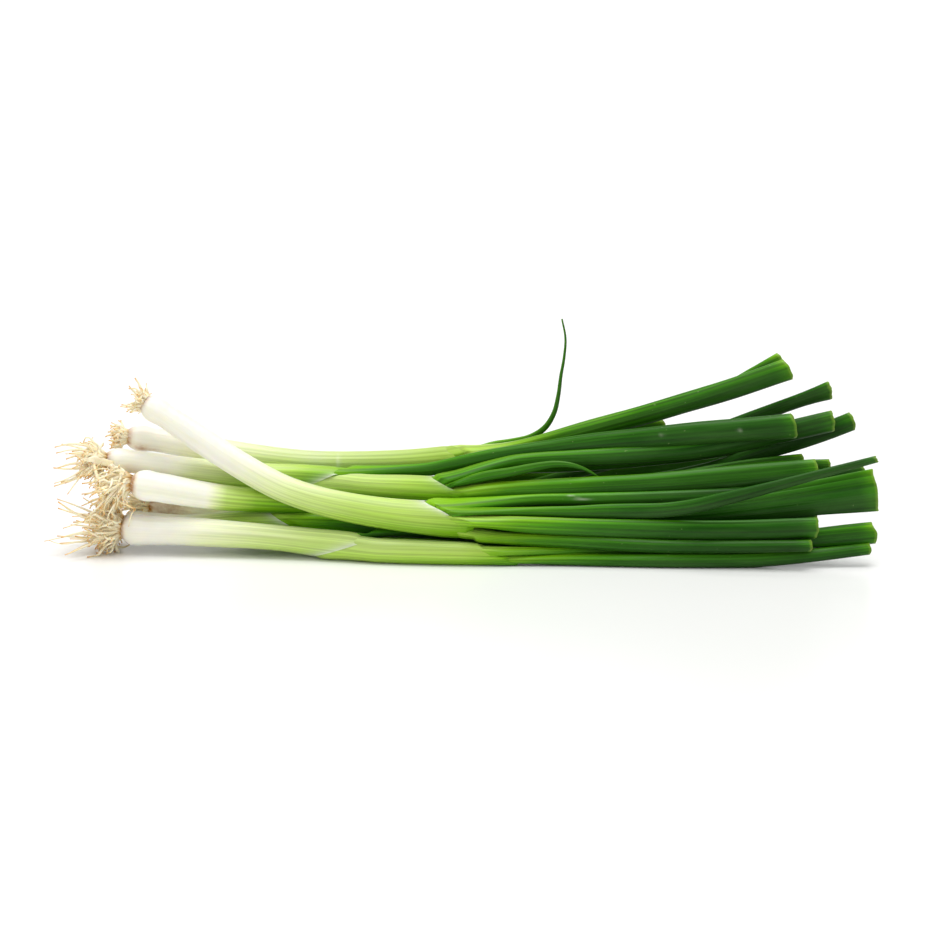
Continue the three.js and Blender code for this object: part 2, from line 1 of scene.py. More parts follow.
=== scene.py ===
import math
import bpy
import numpy as np
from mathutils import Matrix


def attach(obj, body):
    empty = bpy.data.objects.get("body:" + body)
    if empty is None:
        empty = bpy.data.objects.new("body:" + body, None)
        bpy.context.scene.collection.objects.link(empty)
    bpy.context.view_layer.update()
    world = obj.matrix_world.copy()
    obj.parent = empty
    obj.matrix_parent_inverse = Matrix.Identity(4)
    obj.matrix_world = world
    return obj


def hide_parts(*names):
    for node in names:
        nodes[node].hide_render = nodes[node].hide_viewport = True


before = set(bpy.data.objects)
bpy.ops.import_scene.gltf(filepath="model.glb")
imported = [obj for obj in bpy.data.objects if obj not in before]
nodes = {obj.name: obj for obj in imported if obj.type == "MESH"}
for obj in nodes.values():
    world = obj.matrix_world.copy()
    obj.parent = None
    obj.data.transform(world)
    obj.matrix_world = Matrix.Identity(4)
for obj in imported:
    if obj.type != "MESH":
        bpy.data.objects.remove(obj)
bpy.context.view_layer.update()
mm = 0.001    # shapes are worked out in mm, and the meshes are in m
tau = 2 * math.pi
print("frame loaded,", len(nodes), "nodes")


def linear(hexText):
    # sRGB hex to the linear colour that shaders work in
    parts = [int(hexText[i:i + 2], 16) / 255 for i in (1, 3, 5)]
    return [c / 12.92 if c <= 0.04045 else ((c + 0.055) / 1.055) ** 2.4 for c in parts] + [1.0]


def addNode(tree, kind, settings=None, inputs=None, out=0):
    # one node and its links, giving back one output; an input is a plain value, an sRGB hex or
    # the output it is linked from, and "stops" among the settings are the places of a ramp
    made = tree.nodes.new(kind)
    for name, value in (settings or {}).items():
        if name == "stops":
            band = made.color_ramp
            while len(band.elements) < len(value):
                band.elements.new(0.5)
            for element, (place, colour) in zip(band.elements, value):
                element.position = place
                element.color = linear(colour) if isinstance(colour, str) else (colour, colour, colour, 1)
        else:
            setattr(made, name, value)
    for name, value in (inputs or {}).items():
        if isinstance(value, bpy.types.NodeSocket):
            tree.links.new(value, made.inputs[name])
        else:
            made.inputs[name].default_value = linear(value) if isinstance(value, str) else value
    return made.outputs[out] if out is not None else made


def emptyMaterial(name):
    # a new material with nothing in its node tree, and that tree
    material = bpy.data.materials.new(name)
    material.use_nodes = True
    material.node_tree.nodes.clear()
    return material, material.node_tree


tinted = {"data_type": "RGBA", "blend_type": "MULTIPLY"}
laidOver = {"data_type": "RGBA", "blend_type": "MIX"}


def tissueMaterial(name, look):
    # living leaf tissue, grown and washed: a waxed skin over watery cells, ribbed lengthwise by
    # its veins. To the eye: fine parallel streaks, a soft inner glow where it is pale, and a
    # satin sheen that pales where the grey wax lies. All grain is read in mm from "straight",
    # the surface unrolled; colour = ramp(tint + streaks + patches), then each layer is mixed on.
    material, tree = emptyMaterial(name)
    straight = addNode(tree, "ShaderNodeAttribute", {"attribute_name": "straight"}, out="Vector")
    here = {key: addNode(tree, "ShaderNodeAttribute", {"attribute_name": key}, out="Fac")
            for key in ("tint", "shade", "stain", "film", "rim")}
    grain = {}
    for key, stretch, detail in look["grains"]:
        placed = addNode(tree, "ShaderNodeVectorMath", {"operation": "MULTIPLY"},
                         {0: straight, 1: stretch})
        grain[key] = addNode(tree, "ShaderNodeTexNoise", None, {
            "Vector": placed, "Scale": 1.0, "Detail": detail, "Roughness": 0.6}, out="Fac")
    moved = here["tint"]
    for key, amount in look["uneven"]:
        moved = addNode(tree, "ShaderNodeMath", {"operation": "MULTIPLY_ADD"},
                        {0: grain[key], 1: amount, 2: moved})
    middle = sum(amount for _, amount in look["uneven"]) / 2
    moved = addNode(tree, "ShaderNodeMath", {"operation": "SUBTRACT", "use_clamp": True},
                    {0: moved, 1: middle})
    byTint = {key: addNode(tree, "ShaderNodeValToRGB", {"stops": look[key]}, {"Fac": moved})
              for key in ("greens", "veinShow", "bloomed", "scarred", "glow", "gloss")}
    veinTone = addNode(tree, "ShaderNodeValToRGB", {"stops": look["veinTone"]}, {"Fac": grain["veins"]})
    body = addNode(tree, "ShaderNodeMix", tinted,
                   {0: byTint["veinShow"], 6: byTint["greens"], 7: veinTone}, out=2)
    # shade carries each piece's own tone and the painted top light of deep green leaves
    tone = addNode(tree, "ShaderNodeMath", {"operation": "MULTIPLY_ADD"},
                   {0: grain["patches"], 1: 0.35, 2: here["shade"]})
    toneRamp = addNode(tree, "ShaderNodeValToRGB", {"stops": look["tones"]}, {"Fac": tone})
    body = addNode(tree, "ShaderNodeMix", tinted, {0: 1.0, 6: body, 7: toneRamp}, out=2)
    # each layer: where its pattern shows, times how much this place has of it, mixed over
    for key, have in (("bloom", byTint["bloomed"]), ("scar", byTint["scarred"]),
                      ("stain", here["stain"]), ("film", here["film"])):
        layer = look[key]
        shows = addNode(tree, "ShaderNodeValToRGB", {"stops": layer["where"]},
                        {"Fac": grain[layer["grain"]]})
        factor = addNode(tree, "ShaderNodeMath", {"operation": "MULTIPLY", "use_clamp": True},
                         {0: shows, 1: have})
        body = addNode(tree, "ShaderNodeMix", laidOver, {0: factor, 6: body, 7: layer["colour"]}, out=2)
    body = addNode(tree, "ShaderNodeMix", laidOver, {0: here["rim"], 6: body, 7: look["rimColour"]}, out=2)
    rough = addNode(tree, "ShaderNodeValToRGB", {"stops": look["roughness"]}, {"Fac": grain["patches"]})
    relief = addNode(tree, "ShaderNodeMath", {"operation": "MULTIPLY_ADD"},
                     {0: grain["streaks"], 1: 0.6, 2: grain["veins"]})
    bump = addNode(tree, "ShaderNodeBump", None,
                   {"Height": relief, "Strength": 1.0, "Distance": look["veinDepth"]})
    shader = addNode(tree, "ShaderNodeBsdfPrincipled", None, {
        "Base Color": body, "Roughness": rough, "Normal": bump, "IOR": 1.42,
        "Specular IOR Level": byTint["gloss"], "Subsurface Weight": byTint["glow"],
        "Subsurface Radius": (1.0, 0.85, 0.45), "Subsurface Scale": 0.004})
    addNode(tree, "ShaderNodeOutputMaterial", None, {"Surface": shader}, out=None)
    return material


def cordMaterial(name, look):
    # a root dried in the air after washing: a cream cord, tan at its base and its withered tip.
    # To the eye: a matt, finely wrinkled string, brown in the creases.
    material, tree = emptyMaterial(name)
    straight = addNode(tree, "ShaderNodeAttribute", {"attribute_name": "straight"}, out="Vector")
    here = {key: addNode(tree, "ShaderNodeAttribute", {"attribute_name": key}, out="Fac")
            for key in ("tint", "shade")}
    placed = addNode(tree, "ShaderNodeVectorMath", {"operation": "MULTIPLY"},
                     {0: straight, 1: look["wrinkleStretch"]})
    wrinkle = addNode(tree, "ShaderNodeTexNoise", None,
                      {"Vector": placed, "Scale": 1.0, "Detail": 2.0}, out="Fac")
    body = addNode(tree, "ShaderNodeValToRGB", {"stops": look["colours"]}, {"Fac": here["tint"]})
    tone = addNode(tree, "ShaderNodeValToRGB", {"stops": look["tones"]}, {"Fac": here["shade"]})
    body = addNode(tree, "ShaderNodeMix", tinted, {0: 1.0, 6: body, 7: tone}, out=2)
    shows = addNode(tree, "ShaderNodeValToRGB", {"stops": look["wrinkles"]}, {"Fac": wrinkle})
    body = addNode(tree, "ShaderNodeMix", laidOver, {0: shows, 6: body, 7: look["wrinkleColour"]}, out=2)
    bump = addNode(tree, "ShaderNodeBump", None,
                   {"Height": wrinkle, "Strength": 0.8, "Distance": look["wrinkleDepth"]})
    shader = addNode(tree, "ShaderNodeBsdfPrincipled", None, {
        "Base Color": body, "Roughness": look["roughness"], "Normal": bump, "IOR": 1.45,
        "Specular IOR Level": 0.3, "Subsurface Weight": 0.3, "Subsurface Radius": (1.0, 0.7, 0.4),
        "Subsurface Scale": 0.001})
    addNode(tree, "ShaderNodeOutputMaterial", None, {"Surface": shader}, out=None)
    return material


tissue = {
    # each grain: how fine it is across, deep and along the leaf (waves per mm), and its detail
    "grains": [("veins", (1.3, 1.3, 0.006), 2.5), ("streaks", (0.35, 0.35, 0.010), 2.0),
               ("patches", (0.11, 0.11, 0.035), 3.0), ("wax", (0.25, 0.25, 0.02), 3.0),
               ("nicks", (0.9, 0.9, 0.45), 1.0), ("dirt", (0.6, 0.6, 0.4), 3.0)],
    "uneven": [("streaks", 0.15), ("patches", 0.10)],    # how far each moves the tint
    "veinDepth": 0.00003,    # m
    "veinShow": [(0.08, 0.05), (0.30, 0.35), (0.52, 0.5), (0.70, 0.9), (1.0, 1.0)],
    "veinTone": [(0.37, 0.60), (0.50, 1.0), (0.63, 1.38)],
    "tones": [(0.17, 0.60), (0.67, 1.0), (1.0, 1.20)],
    "roughness": [(0.2, 0.32), (0.8, 0.44)],
    "glow": [(0.0, 0.75), (0.3, 0.35), (0.6, 0.12), (1.0, 0.05)],
    "gloss": [(0.0, 0.50), (0.40, 0.40), (0.65, 0.22), (1.0, 0.16)],
    "bloomed": [(0.50, 0.0), (0.75, 0.10), (1.0, 0.10)],
    "scarred": [(0.45, 0.0), (0.8, 0.25)],
    "bloom": {"grain": "wax", "where": [(0.35, 0.1), (0.68, 1.0)], "colour": "#7FB060"},
    "scar": {"grain": "nicks", "where": [(0.77, 0.0), (0.79, 1.0)], "colour": "#A9BA80"},
    "stain": {"grain": "dirt", "where": [(0.3, 0.35), (0.62, 1.0)], "colour": "#B0742F"},
    "film": {"grain": "veins", "where": [(0.3, 0.6), (0.6, 1.0)], "colour": "#E6EBD2"},
    "rimColour": "#8FAF45",
    "greens": [(0.00, "#F5F3E8"), (0.12, "#F0F1D8"), (0.24, "#DFE9B0"), (0.36, "#C6DB84"),
               (0.48, "#ACCD55"), (0.60, "#78AC14"), (0.72, "#438202"), (0.80, "#2B6601"),
               (0.90, "#174A02"), (1.00, "#0D3503")],
}
onionSkin = tissueMaterial("freshOnionLeafWaxed", tissue)
cord = {
    "colours": [(0.0, "#A5702F"), (0.08, "#D8B074"), (0.20, "#F7E6C0"), (0.7, "#FCF0D2"),
                (0.92, "#F2D7A4"), (1.0, "#D9A060")],
    "tones": [(0.0, 0.96), (0.5, 1.06), (1.0, 1.14)],
    "wrinkleStretch": (1.1, 1.1, 1.5),    # waves per mm
    "wrinkleDepth": 0.00008,    # m
    "wrinkles": [(0.45, 0.0), (0.75, 0.25)],
    "wrinkleColour": "#DDBB85",
    "roughness": 0.55,
}
rootSkin = cordMaterial("driedOnionRoot", cord)
print("materials made")


def unit(vectors):
    # each vector divided by its length
    return vectors / np.linalg.norm(vectors, axis=-1, keepdims=True)


def joinedPoints(name):
    # the points of a frame mesh, in mm and each once, and a table of which of them share an edge
    mesh = nodes[name].data
    points = np.empty(len(mesh.vertices) * 3)
    mesh.vertices.foreach_get("co", points)
    corners = np.empty(len(mesh.loops), dtype=int)
    mesh.loops.foreach_get("vertex_index", corners)
    unique, where = np.unique(np.round(points.reshape(-1, 3) / mm, 3), axis=0, return_inverse=True)
    faces = where.reshape(-1)[corners].reshape(-1, 3)
    beside = np.zeros((len(unique), len(unique)), bool)
    for a, b in ((0, 1), (1, 2), (2, 0)):
        beside[faces[:, a], faces[:, b]] = True
        beside[faces[:, b], faces[:, a]] = True
    return unique, beside


def ringsFrom(unique, beside, start, sides):
    # the neighbours of one point, then their neighbours, and so on while there are as many as sides
    edge = np.zeros(len(unique), bool)
    edge[start] = True
    seen = edge.copy()
    rings = []
    while True:
        edge = beside[edge].any(axis=0) & ~seen
        if edge.sum() != sides:
            return rings
        seen |= edge
        rings.append(unique[edge])


def tubeRings(name, sides):
    # rings of a frame tube from its first pole on, each put in order round the tube; returns the
    # outer rings, up to where the tube turns inwards, and whether it does
    unique, beside = joinedPoints(name)
    poles = np.flatnonzero(beside.sum(axis=1) == sides)
    rings = np.array(ringsFrom(unique, beside, poles[np.argmin(unique[poles, 0])], sides))
    centres = rings.mean(axis=1)
    turns = np.flatnonzero(np.linalg.norm(np.diff(centres, axis=0), axis=1) < 0.3)
    last = turns[0] + 1 if len(turns) else len(rings)
    up = np.array([0.0, 0.0, 1.0])
    for i in range(last):
        ahead = unit(centres[min(i + 1, last - 1)] - centres[max(i - 1, 0)])
        up = unit(up - ahead * up.dot(ahead))
        side = np.cross(ahead, up)
        away = rings[i] - centres[i]
        angle = np.arctan2(away @ side, away @ up) % tau
        rings[i] = rings[i][np.argsort(angle)]
        if i:
            before = rings[i - 1] - centres[i - 1]
            now = rings[i] - centres[i]
            shifts = [np.sum((np.roll(now, k, axis=0) - before) ** 2) for k in range(-2, 3)]
            rings[i] = np.roll(rings[i], int(np.argmin(shifts)) - 2, axis=0)
    return rings[:last], len(turns) > 0


def hermite(t, start, startSlope, end, endSlope):
    # the cubic that goes from start to end as t goes from 0 to 1, with these slopes at its ends
    return ((2 * t ** 3 - 3 * t ** 2 + 1) * start + (t ** 3 - 2 * t ** 2 + t) * startSlope
            + (3 * t ** 2 - 2 * t ** 3) * end + (t ** 3 - t ** 2) * endSlope)


def through(knots, values, places):
    # a smooth curve through values at knots (cubic Hermite with central slopes), read at places;
    # beyond the last knot the first value, the centre, runs straight on and the rest stay
    slopes = np.gradient(values, knots, axis=0)
    inside = np.clip(places, knots[0], knots[-1])
    i = np.clip(np.searchsorted(knots, inside) - 1, 0, len(knots) - 2)
    wide = (knots[i + 1] - knots[i]).reshape((-1,) + (1,) * (values.ndim - 1))
    t = (inside - knots[i]).reshape(wide.shape) / wide
    found = hermite(t, values[i], wide * slopes[i], values[i + 1], wide * slopes[i + 1])
    if values.ndim == 3:
        over = (places - inside)[:, None]
        found[:, 0] += np.where(over > 0, slopes[-1, 0], slopes[0, 0]) * over
    return found


def runOf(line):
    # how far along a row of points each of them lies: the running sum of the steps between them
    return np.concatenate([[0], np.cumsum(np.linalg.norm(np.diff(line, axis=0), axis=1))])


def fromTo(low, high, x):
    # 0 below low, 1 above high, a smooth step between
    t = np.clip((x - low) / (high - low), 0, 1)
    return t * t * (3 - 2 * t)


def seedOf(name):
    # a whole number from a name: each letter's code times its place, added up
    return sum((i + 1) * ord(c) for i, c in enumerate(name))


def waves(seed, count, size):
    # slow seeded waves over a grid of places (mm) and angles, within about plus or minus 1:
    # a sum of sines, each with its own pitch along and whole number of turns round
    draw = np.random.default_rng(seed)
    pitch = draw.uniform(0.4, 1.6, count) * tau / size
    order = draw.integers(0, 4, count)
    phase = draw.uniform(0, tau, count)
    return lambda places, angles: sum(
        np.sin(pitch[i] * places + order[i] * angles + phase[i]) for i in range(count)) / math.sqrt(count)


def unevenness(name, look, places, angles):
    # how much fuller or thinner a tube is here, as a share of its half width: slow swells, and
    # fine ribs that run along it and stand ribTurns times as close round it
    slow = waves(seedOf(name), 7, look["swell"])(places, angles)
    ribs = waves(seedOf(name) + 1, 6, 400)(places, angles * look["ribTurns"])
    return look["uneven"] * slow[..., None], look["ribs"] * ribs[..., None]


# Small corrections of the tubes, in mm: (x, moved back, moved up, times as thick), and a fifth
# number where it is another number of times as deep, read in between by straight lines;
# outside the list the end values hold.
coaxed = {
    "onion_1_stem": [(-60, 0, 0.0, 1.0), (-30, 0, 0.4, 1.03), (-8, 0, 1.3, 1.09)],
    "onion_1_leaf_1": [(40, 0, 0.0, 1.0), (60, 0, -0.2, 1.2), (110, 0, -0.4, 1.25), (150, 0, 0.0, 1.0)],
    "onion_1_leaf_2": [(50, 0, 0.0, 1.0), (70, 0, 0.3, 1.2), (110, 0, 0.0, 1.15), (140, 0, 0.0, 1.0)],
    "onion_2_stem": [(-60, 0, 0.0, 1.0), (-30, 0, -0.4, 1.06), (-5, 0, -0.4, 1.08)],
    "onion_2_leaf_3": [(60, 0, 0.0, 1.0), (104, 0, -2.2, 1.0), (121, 0, -3.2, 1.0),
                       (136, 0, -0.8, 1.1)],
    "onion_2_leaf_4": [(55, 0, 0.0, 1.0), (82, 0, 2.2, 1.0)],
    "onion_2_leaf_6": [(-9, 0, -3.0, 8.0, 1.2), (0, 0, -4.5, 4.5, 1.3), (8, 0, -4.5, 3.4, 1.3),
                       (25, 0, -2.0, 1.9, 1.3), (60, 0, -0.2, 1.6, 1.2), (90, 0, 0.8, 1.4, 1.2),
                       (130, 0, 0.2, 1.2, 1.1)],
    "onion_3_neck": [(-60, 0, 0.0, 1.0), (-40, 0, -0.5, 1.06), (-16, 0, -0.9, 1.09)],
    "onion_3_leaf_1": [(-60, 0, 0.0, 1.05), (-38, 0, -1.2, 1.12), (-16, 0, -2.2, 1.25),
                       (5, -0.5, -1.5, 1.2), (60, -1.5, -0.6, 1.06), (105, -4, -0.7, 1.06),
                       (142, -6, -1.3, 1.05)],
    "onion_3_leaf_2": [(-10, 0, 0.2, 1.2), (12, 0, 0.0, 1.35), (40, 0, 0.3, 1.35), (100, 1, 0.2, 1.35),
                       (130, 4, 0.2, 1.15), (162, 4, 0.0, 1.0)],
    "onion_3_leaf_4": [(60, 0, 0.0, 1.0), (110, 0, -0.5, 1.08), (130, 0, -0.4, 1.06),
                       (155, 0, 0.0, 1.0)],
    "onion_3_leaf_3": [(-6, 0, 0.0, 2.0), (3, 0, 0.8, 2.2), (12, 0, 0.8, 1.8), (40, 0, 0.3, 1.2),
                       (60, 0, 0.0, 1.0)],
    "onion_4_leaf_1": [(60, 0, 0.0, 1.0), (100, 0, 0.7, 1.3), (125, 0, 1.1, 1.4), (150, 0, 0.6, 1.2)],
    "onion_4_leaf_2": [(80, 0, 0.0, 1.0), (130, 0, 1.0, 1.3)],
    "onion_5_leaf_1": [(60, 0, 0.0, 1.3), (100, 0, -0.5, 2.0), (150, 0, 0.8, 1.15)],
    "onion_6_stem": [(-90, 0, 0.0, 1.0), (-76, 0, -0.3, 1.02), (-60, 0, -0.7, 1.06)],
    "onion_6_leaf_3": [(20, 0, 0.0, 1.0), (50, 0, 0.6, 1.2), (110, 0, 0.9, 1.25), (160, 0, 0.7, 1.12)],
    "onion_7_stem": [(-125, 0, 0.0, 1.0), (-100, 0, 2.2, 1.1), (-86, 0, 2.8, 1.12)],
    "onion_7_neck": [(-94, 0, 2.8, 1.12), (-70, 0, 2.2, 1.15), (-50, 0, 1.2, 1.1), (-30, 0, 0.0, 1.0)],
}


class Rod:
    # A tube of the frame as a smooth surface: each ring is a Fourier sum in the angle round the
    # tube, and each term of the sum runs smoothly from ring to ring along the tube. The slant of
    # the end rings is taken out: mouths and cut ends get their own.
    def __init__(self, name, sides):
        rings, self.hollow = tubeRings(name, sides)
        centres = rings.mean(axis=1)
        self.name = name
        self.knots = runOf(centres)
        self.length = self.knots[-1]
        angles = (np.arange(sides) + 0.5) * tau / sides
        self.orders = np.arange(1, sides // 2)
        terms = [centres]
        for h in self.orders:
            terms.append(np.einsum("rsx,s->rx", rings, np.cos(h * angles)) * 2 / sides)
            terms.append(np.einsum("rsx,s->rx", rings, np.sin(h * angles)) * 2 / sides)
        terms = np.array(terms).transpose(1, 0, 2)
        calm = terms.copy()
        calm[3:-1] = 0.25 * terms[2:-2] + 0.5 * terms[3:-1] + 0.25 * terms[4:]
        calm[:, 0] = 0.5 * (calm[:, 0] + terms[:, 0])
        fixes = np.array(coaxed.get(name, [(0, 0, 0, 1)]), dtype=float)
        x = calm[:, 0, 0]
        tall = np.interp(x, fixes[:, 0], fixes[:, 3])[:, None]
        deep = np.interp(x, fixes[:, 0], fixes[:, -1])[:, None]
        calm[:, 1] *= tall
        calm[:, 2] *= deep
        calm[:, 3:] *= np.minimum(tall, deep)[..., None]
        calm[:, 0, 1] += np.interp(x, fixes[:, 0], fixes[:, 1])
        calm[:, 0, 2] += np.interp(x, fixes[:, 0], fixes[:, 2])
        ahead = unit(np.gradient(calm[:, 0], self.knots, axis=0))
        calm[:, 1:] -= np.einsum("rtx,rx->rt", calm[:, 1:], ahead)[..., None] * ahead[:, None]
        self.terms = calm
        widths = np.linalg.norm(calm[:, 1:3], axis=2)
        self.radius = float(np.sqrt((widths ** 2).mean()))

    def centresAt(self, places):
        # the centre line, at places of any shape
        line = through(self.knots, self.terms[:, :1], places.ravel())[:, 0]
        return line.reshape(places.shape + (3,))

    def widthsAt(self, places):
        # half width up and half width sideways
        return np.linalg.norm(through(self.knots, self.terms, places)[:, 1:3], axis=2)

    def at(self, places, angles, grow=None):
        # centres, the spread of the surface from them, and the direction along the tube, all over
        # the grid places x angles; grow widens the section up and sideways
        terms = through(self.knots, self.terms, places.ravel())
        if grow is not None:
            terms[:, 1] *= grow[..., 0].reshape(-1, 1)
            terms[:, 2] *= grow[..., 1].reshape(-1, 1)
            terms[:, 3:] *= grow.min(axis=-1).reshape(-1, 1, 1)
        terms = terms.reshape(places.shape + terms.shape[1:])
        basis = [f(h * angles) for h in self.orders for f in (np.cos, np.sin)]
        spread = sum(terms[..., i + 1, :] * b[..., None] for i, b in enumerate(basis))
        along = self.centresAt(places + 0.5) - self.centresAt(places - 0.5)
        return terms[..., 0, :], spread, unit(along)


def closedTubes(name, grid, notes, material, poles=None):
    # one closed tube over a grid of rows, each a ring, or a stack of such tubes; each tube has a
    # pole at both ends, in the middle of the end ring unless poles says where; notes are the
    # attributes, one value or vector for each grid point
    if grid.ndim == 3:
        grid, notes = grid[None], {key: values[None] for key, values in notes.items()}
    count, steps, sides = grid.shape[:3]
    poles = poles or (grid[:, 0].mean(axis=1), grid[:, -1].mean(axis=1))
    n, r, k = np.meshgrid(np.arange(count), np.arange(steps - 1), np.arange(sides), indexing="ij")
    a, b = (n * steps + r) * sides + k, (n * steps + r) * sides + (k + 1) % sides
    quads = np.stack([a, b, b + sides, a + sides], axis=-1).reshape(-1, 4)
    n, k = np.meshgrid(np.arange(count), np.arange(sides), indexing="ij")
    foot, tip, after = n * steps * sides, (n * steps + steps - 1) * sides, (k + 1) % sides
    pole = count * steps * sides + n
    caps = np.concatenate([np.stack([foot + after, foot + k, pole], axis=-1).reshape(-1, 3),
                           np.stack([tip + k, tip + after, pole + count], axis=-1).reshape(-1, 3)])
    notes = {key: np.concatenate([values.reshape(-1, *values.shape[3:]), values[:, 0].mean(axis=1),
                                  values[:, -1].mean(axis=1)]) for key, values in notes.items()}
    points = np.concatenate([grid.reshape(-1, 3), *poles])
    return meshPiece(name, points, quads, caps, notes, material)


def meshPiece(name, points, quads, caps, notes, material):
    # one object from points (mm), four-sided and three-sided faces, and its point attributes
    points[:, 2] = np.maximum(points[:, 2], 0.0)
    mesh = bpy.data.meshes.new(name)
    mesh.vertices.add(len(points))
    mesh.vertices.foreach_set("co", (points * mm).ravel())
    corners = np.concatenate([quads.ravel(), caps.ravel()])
    mesh.loops.add(len(corners))
    mesh.loops.foreach_set("vertex_index", corners)
    sizes = np.concatenate([np.full(len(quads), 4), np.full(len(caps), 3)])
    mesh.polygons.add(len(sizes))
    mesh.polygons.foreach_set("loop_start", np.concatenate([[0], np.cumsum(sizes)[:-1]]))
    mesh.polygons.foreach_set("loop_total", sizes)
    mesh.polygons.foreach_set("use_smooth", np.ones(len(sizes), bool))
    mesh.update(calc_edges=True)
    for key, values in notes.items():
        vector = values.ndim == 2
        made = mesh.attributes.new(key, "FLOAT_VECTOR" if vector else "FLOAT", "POINT")
        made.data.foreach_set("vector" if vector else "value", values.astype(np.float32).ravel())
    mesh.materials.append(material)
    piece = bpy.data.objects.new(name, mesh)
    bpy.context.scene.collection.objects.link(piece)
    return piece


# How far the green has come along each onion: (x in mm, tint) from the roots outwards; onion_4's tints
# also hold painted shade.
greenAlong = {
    "onion_1_leaf_1": [(-16, 0.66), (0, 0.68), (20, 0.74), (45, 0.81), (75, 0.89), (110, 0.95),
                       (180, 1.0)],
    "onion_1_leaf_3": [(-16, 0.48), (0, 0.52), (12, 0.60), (25, 0.68), (40, 0.74), (60, 0.82),
                       (100, 0.92), (180, 0.97)],
    "onion_2_leaf_2": [(-16, 0.48), (0, 0.51), (15, 0.57), (30, 0.68), (50, 0.77), (80, 0.83),
                       (120, 0.85), (180, 0.86)],
    "onion_3_leaf_4": [(-16, 0.50), (-6, 0.54), (6, 0.62), (20, 0.70), (40, 0.77), (70, 0.84),
                       (120, 0.88), (180, 0.90)],
    "onion_2_leaf_1": [(-10, 0.66), (10, 0.74), (40, 0.80), (100, 0.86)],
    "onion_3_leaf_2": [(-14, 0.70), (0, 0.76), (30, 0.81), (75, 0.89), (110, 0.95), (180, 0.98)],
    "onion_3_leaf_3": [(-14, 0.70), (0, 0.77), (30, 0.80), (75, 0.82)],
    "onion_7_stem": [(-152, 0.02), (-125, 0.06), (-108, 0.34), (-98, 0.50), (-80, 0.58)],
    "onion_7_neck": [(-95, 0.48), (-80, 0.59), (-65, 0.68), (-50, 0.76), (-30, 0.84), (0, 0.88)],
    "onion_3_stem": [(-158, 0.0), (-130, 0.04), (-118, 0.24), (-95, 0.38), (-80, 0.50), (-66, 0.60),
                     (-54, 0.66)],
    "onion_3_leaf_1": [(-80, 0.46), (-60, 0.56), (-52, 0.62), (-42, 0.71), (-30, 0.77), (-15, 0.82),
                       (30, 0.86), (110, 0.93), (180, 0.98)],
    "onion_6_leaf_1": [(-80, 0.40), (-62, 0.52), (-50, 0.66), (-38, 0.82), (0, 0.90), (110, 0.95),
                       (180, 0.98)],
    "onion_1": [(-140, 0.0), (-104, 0.02), (-92, 0.16), (-70, 0.34), (-45, 0.45), (-15, 0.50),
                (0, 0.56), (20, 0.66), (45, 0.78), (75, 0.88), (110, 0.95), (180, 1.0)],
    "onion_2": [(-150, 0.0), (-128, 0.03), (-105, 0.22), (-80, 0.34), (-45, 0.44), (-20, 0.50),
                (0, 0.56), (20, 0.66), (45, 0.74), (75, 0.80), (110, 0.84), (180, 0.86)],
    "onion_3": [(-158, 0.0), (-130, 0.04), (-118, 0.24), (-95, 0.30), (-60, 0.40), (-30, 0.50),
                (-10, 0.57), (15, 0.70), (40, 0.80), (75, 0.90), (110, 0.95), (180, 0.98)],
    # onion_4: its own green, with the tints raised from x -103 on as painted shade where it lies beneath
    # onion_1
    "onion_4": [(-146, 0.0), (-112, 0.06), (-103, 0.42), (-90, 0.56), (-70, 0.62), (-20, 0.66),
                (10, 0.72), (50, 0.80), (90, 0.88), (180, 0.89)],
    "onion_5": [(-142, 0.02), (-118, 0.04), (-95, 0.24), (-60, 0.42), (-20, 0.60), (20, 0.78),
                (60, 0.90), (110, 0.96), (180, 0.98)],
    "onion_6": [(-150, 0.0), (-130, 0.02), (-112, 0.16), (-85, 0.32), (-60, 0.42), (-30, 0.46),
                (0, 0.50), (15, 0.58), (35, 0.70), (65, 0.82), (100, 0.88), (180, 0.88)],
    "onion_7": [(-152, 0.02), (-125, 0.04), (-105, 0.30), (-75, 0.50), (-30, 0.62), (10, 0.74),
                (50, 0.86), (100, 0.94), (180, 0.98)],
}
greenAlong["onion_1_leaf_2"] = greenAlong["onion_1_leaf_1"]
greenAlong["onion_1_leaf_4"] = greenAlong["onion_1_leaf_3"]


# Spots and smears on the skin: (attribute, x in mm, degrees from the top, half length, half width
# in mm, how strong), each a soft oval exp(-distance squared).
marks = {
    "onion_2_stem": [("stain", -142, 130, 3, 2, 0.7), ("stain", -136, 142, 3, 1.2, 0.6),
                     ("film", -55, 90, 0.8, 5, 0.5), ("film", -66, 80, 9, 5, 0.18)],
    "onion_4_stem": [("stain", -142.5, 70, 0.8, 9, 0.5)],
    "onion_5_stem": [("stain", -131, 80, 10, 14, 0.6)],
    "onion_3_leaf_1": [("film", 87, 75, 0.7, 0.45, 0.22), ("film", 120, 85, 0.8, 0.45, 0.25)],
    "onion_1_leaf_1": [("film", 47, 35, 1.3, 0.4, 0.4), ("film", 52, 72, 3.0, 0.35, 0.4),
                       ("film", 50, 55, 0.8, 0.4, 0.25)],
    "onion_6_leaf_1": [("film", 40.5, 80, 0.5, 2.2, 0.5)],
}


# Painted light and shade round each tube: the tint is paler on top and greener underneath, by the
# first number here times tint * (1 - tint) * the cosine of the angle from the top. shades is the
# range that each piece draws its own from. A deep green leaf, from the tints deepFrom on, also gets
# a painted top light: paler on top by pale in tint, and lighter there by the last number in shade.
tintLook = {"greener": 0.35, "shades": (0.44, 0.56), "deepFrom": (0.5, 0.9), "pale": 0.06, "lit": 0.30}


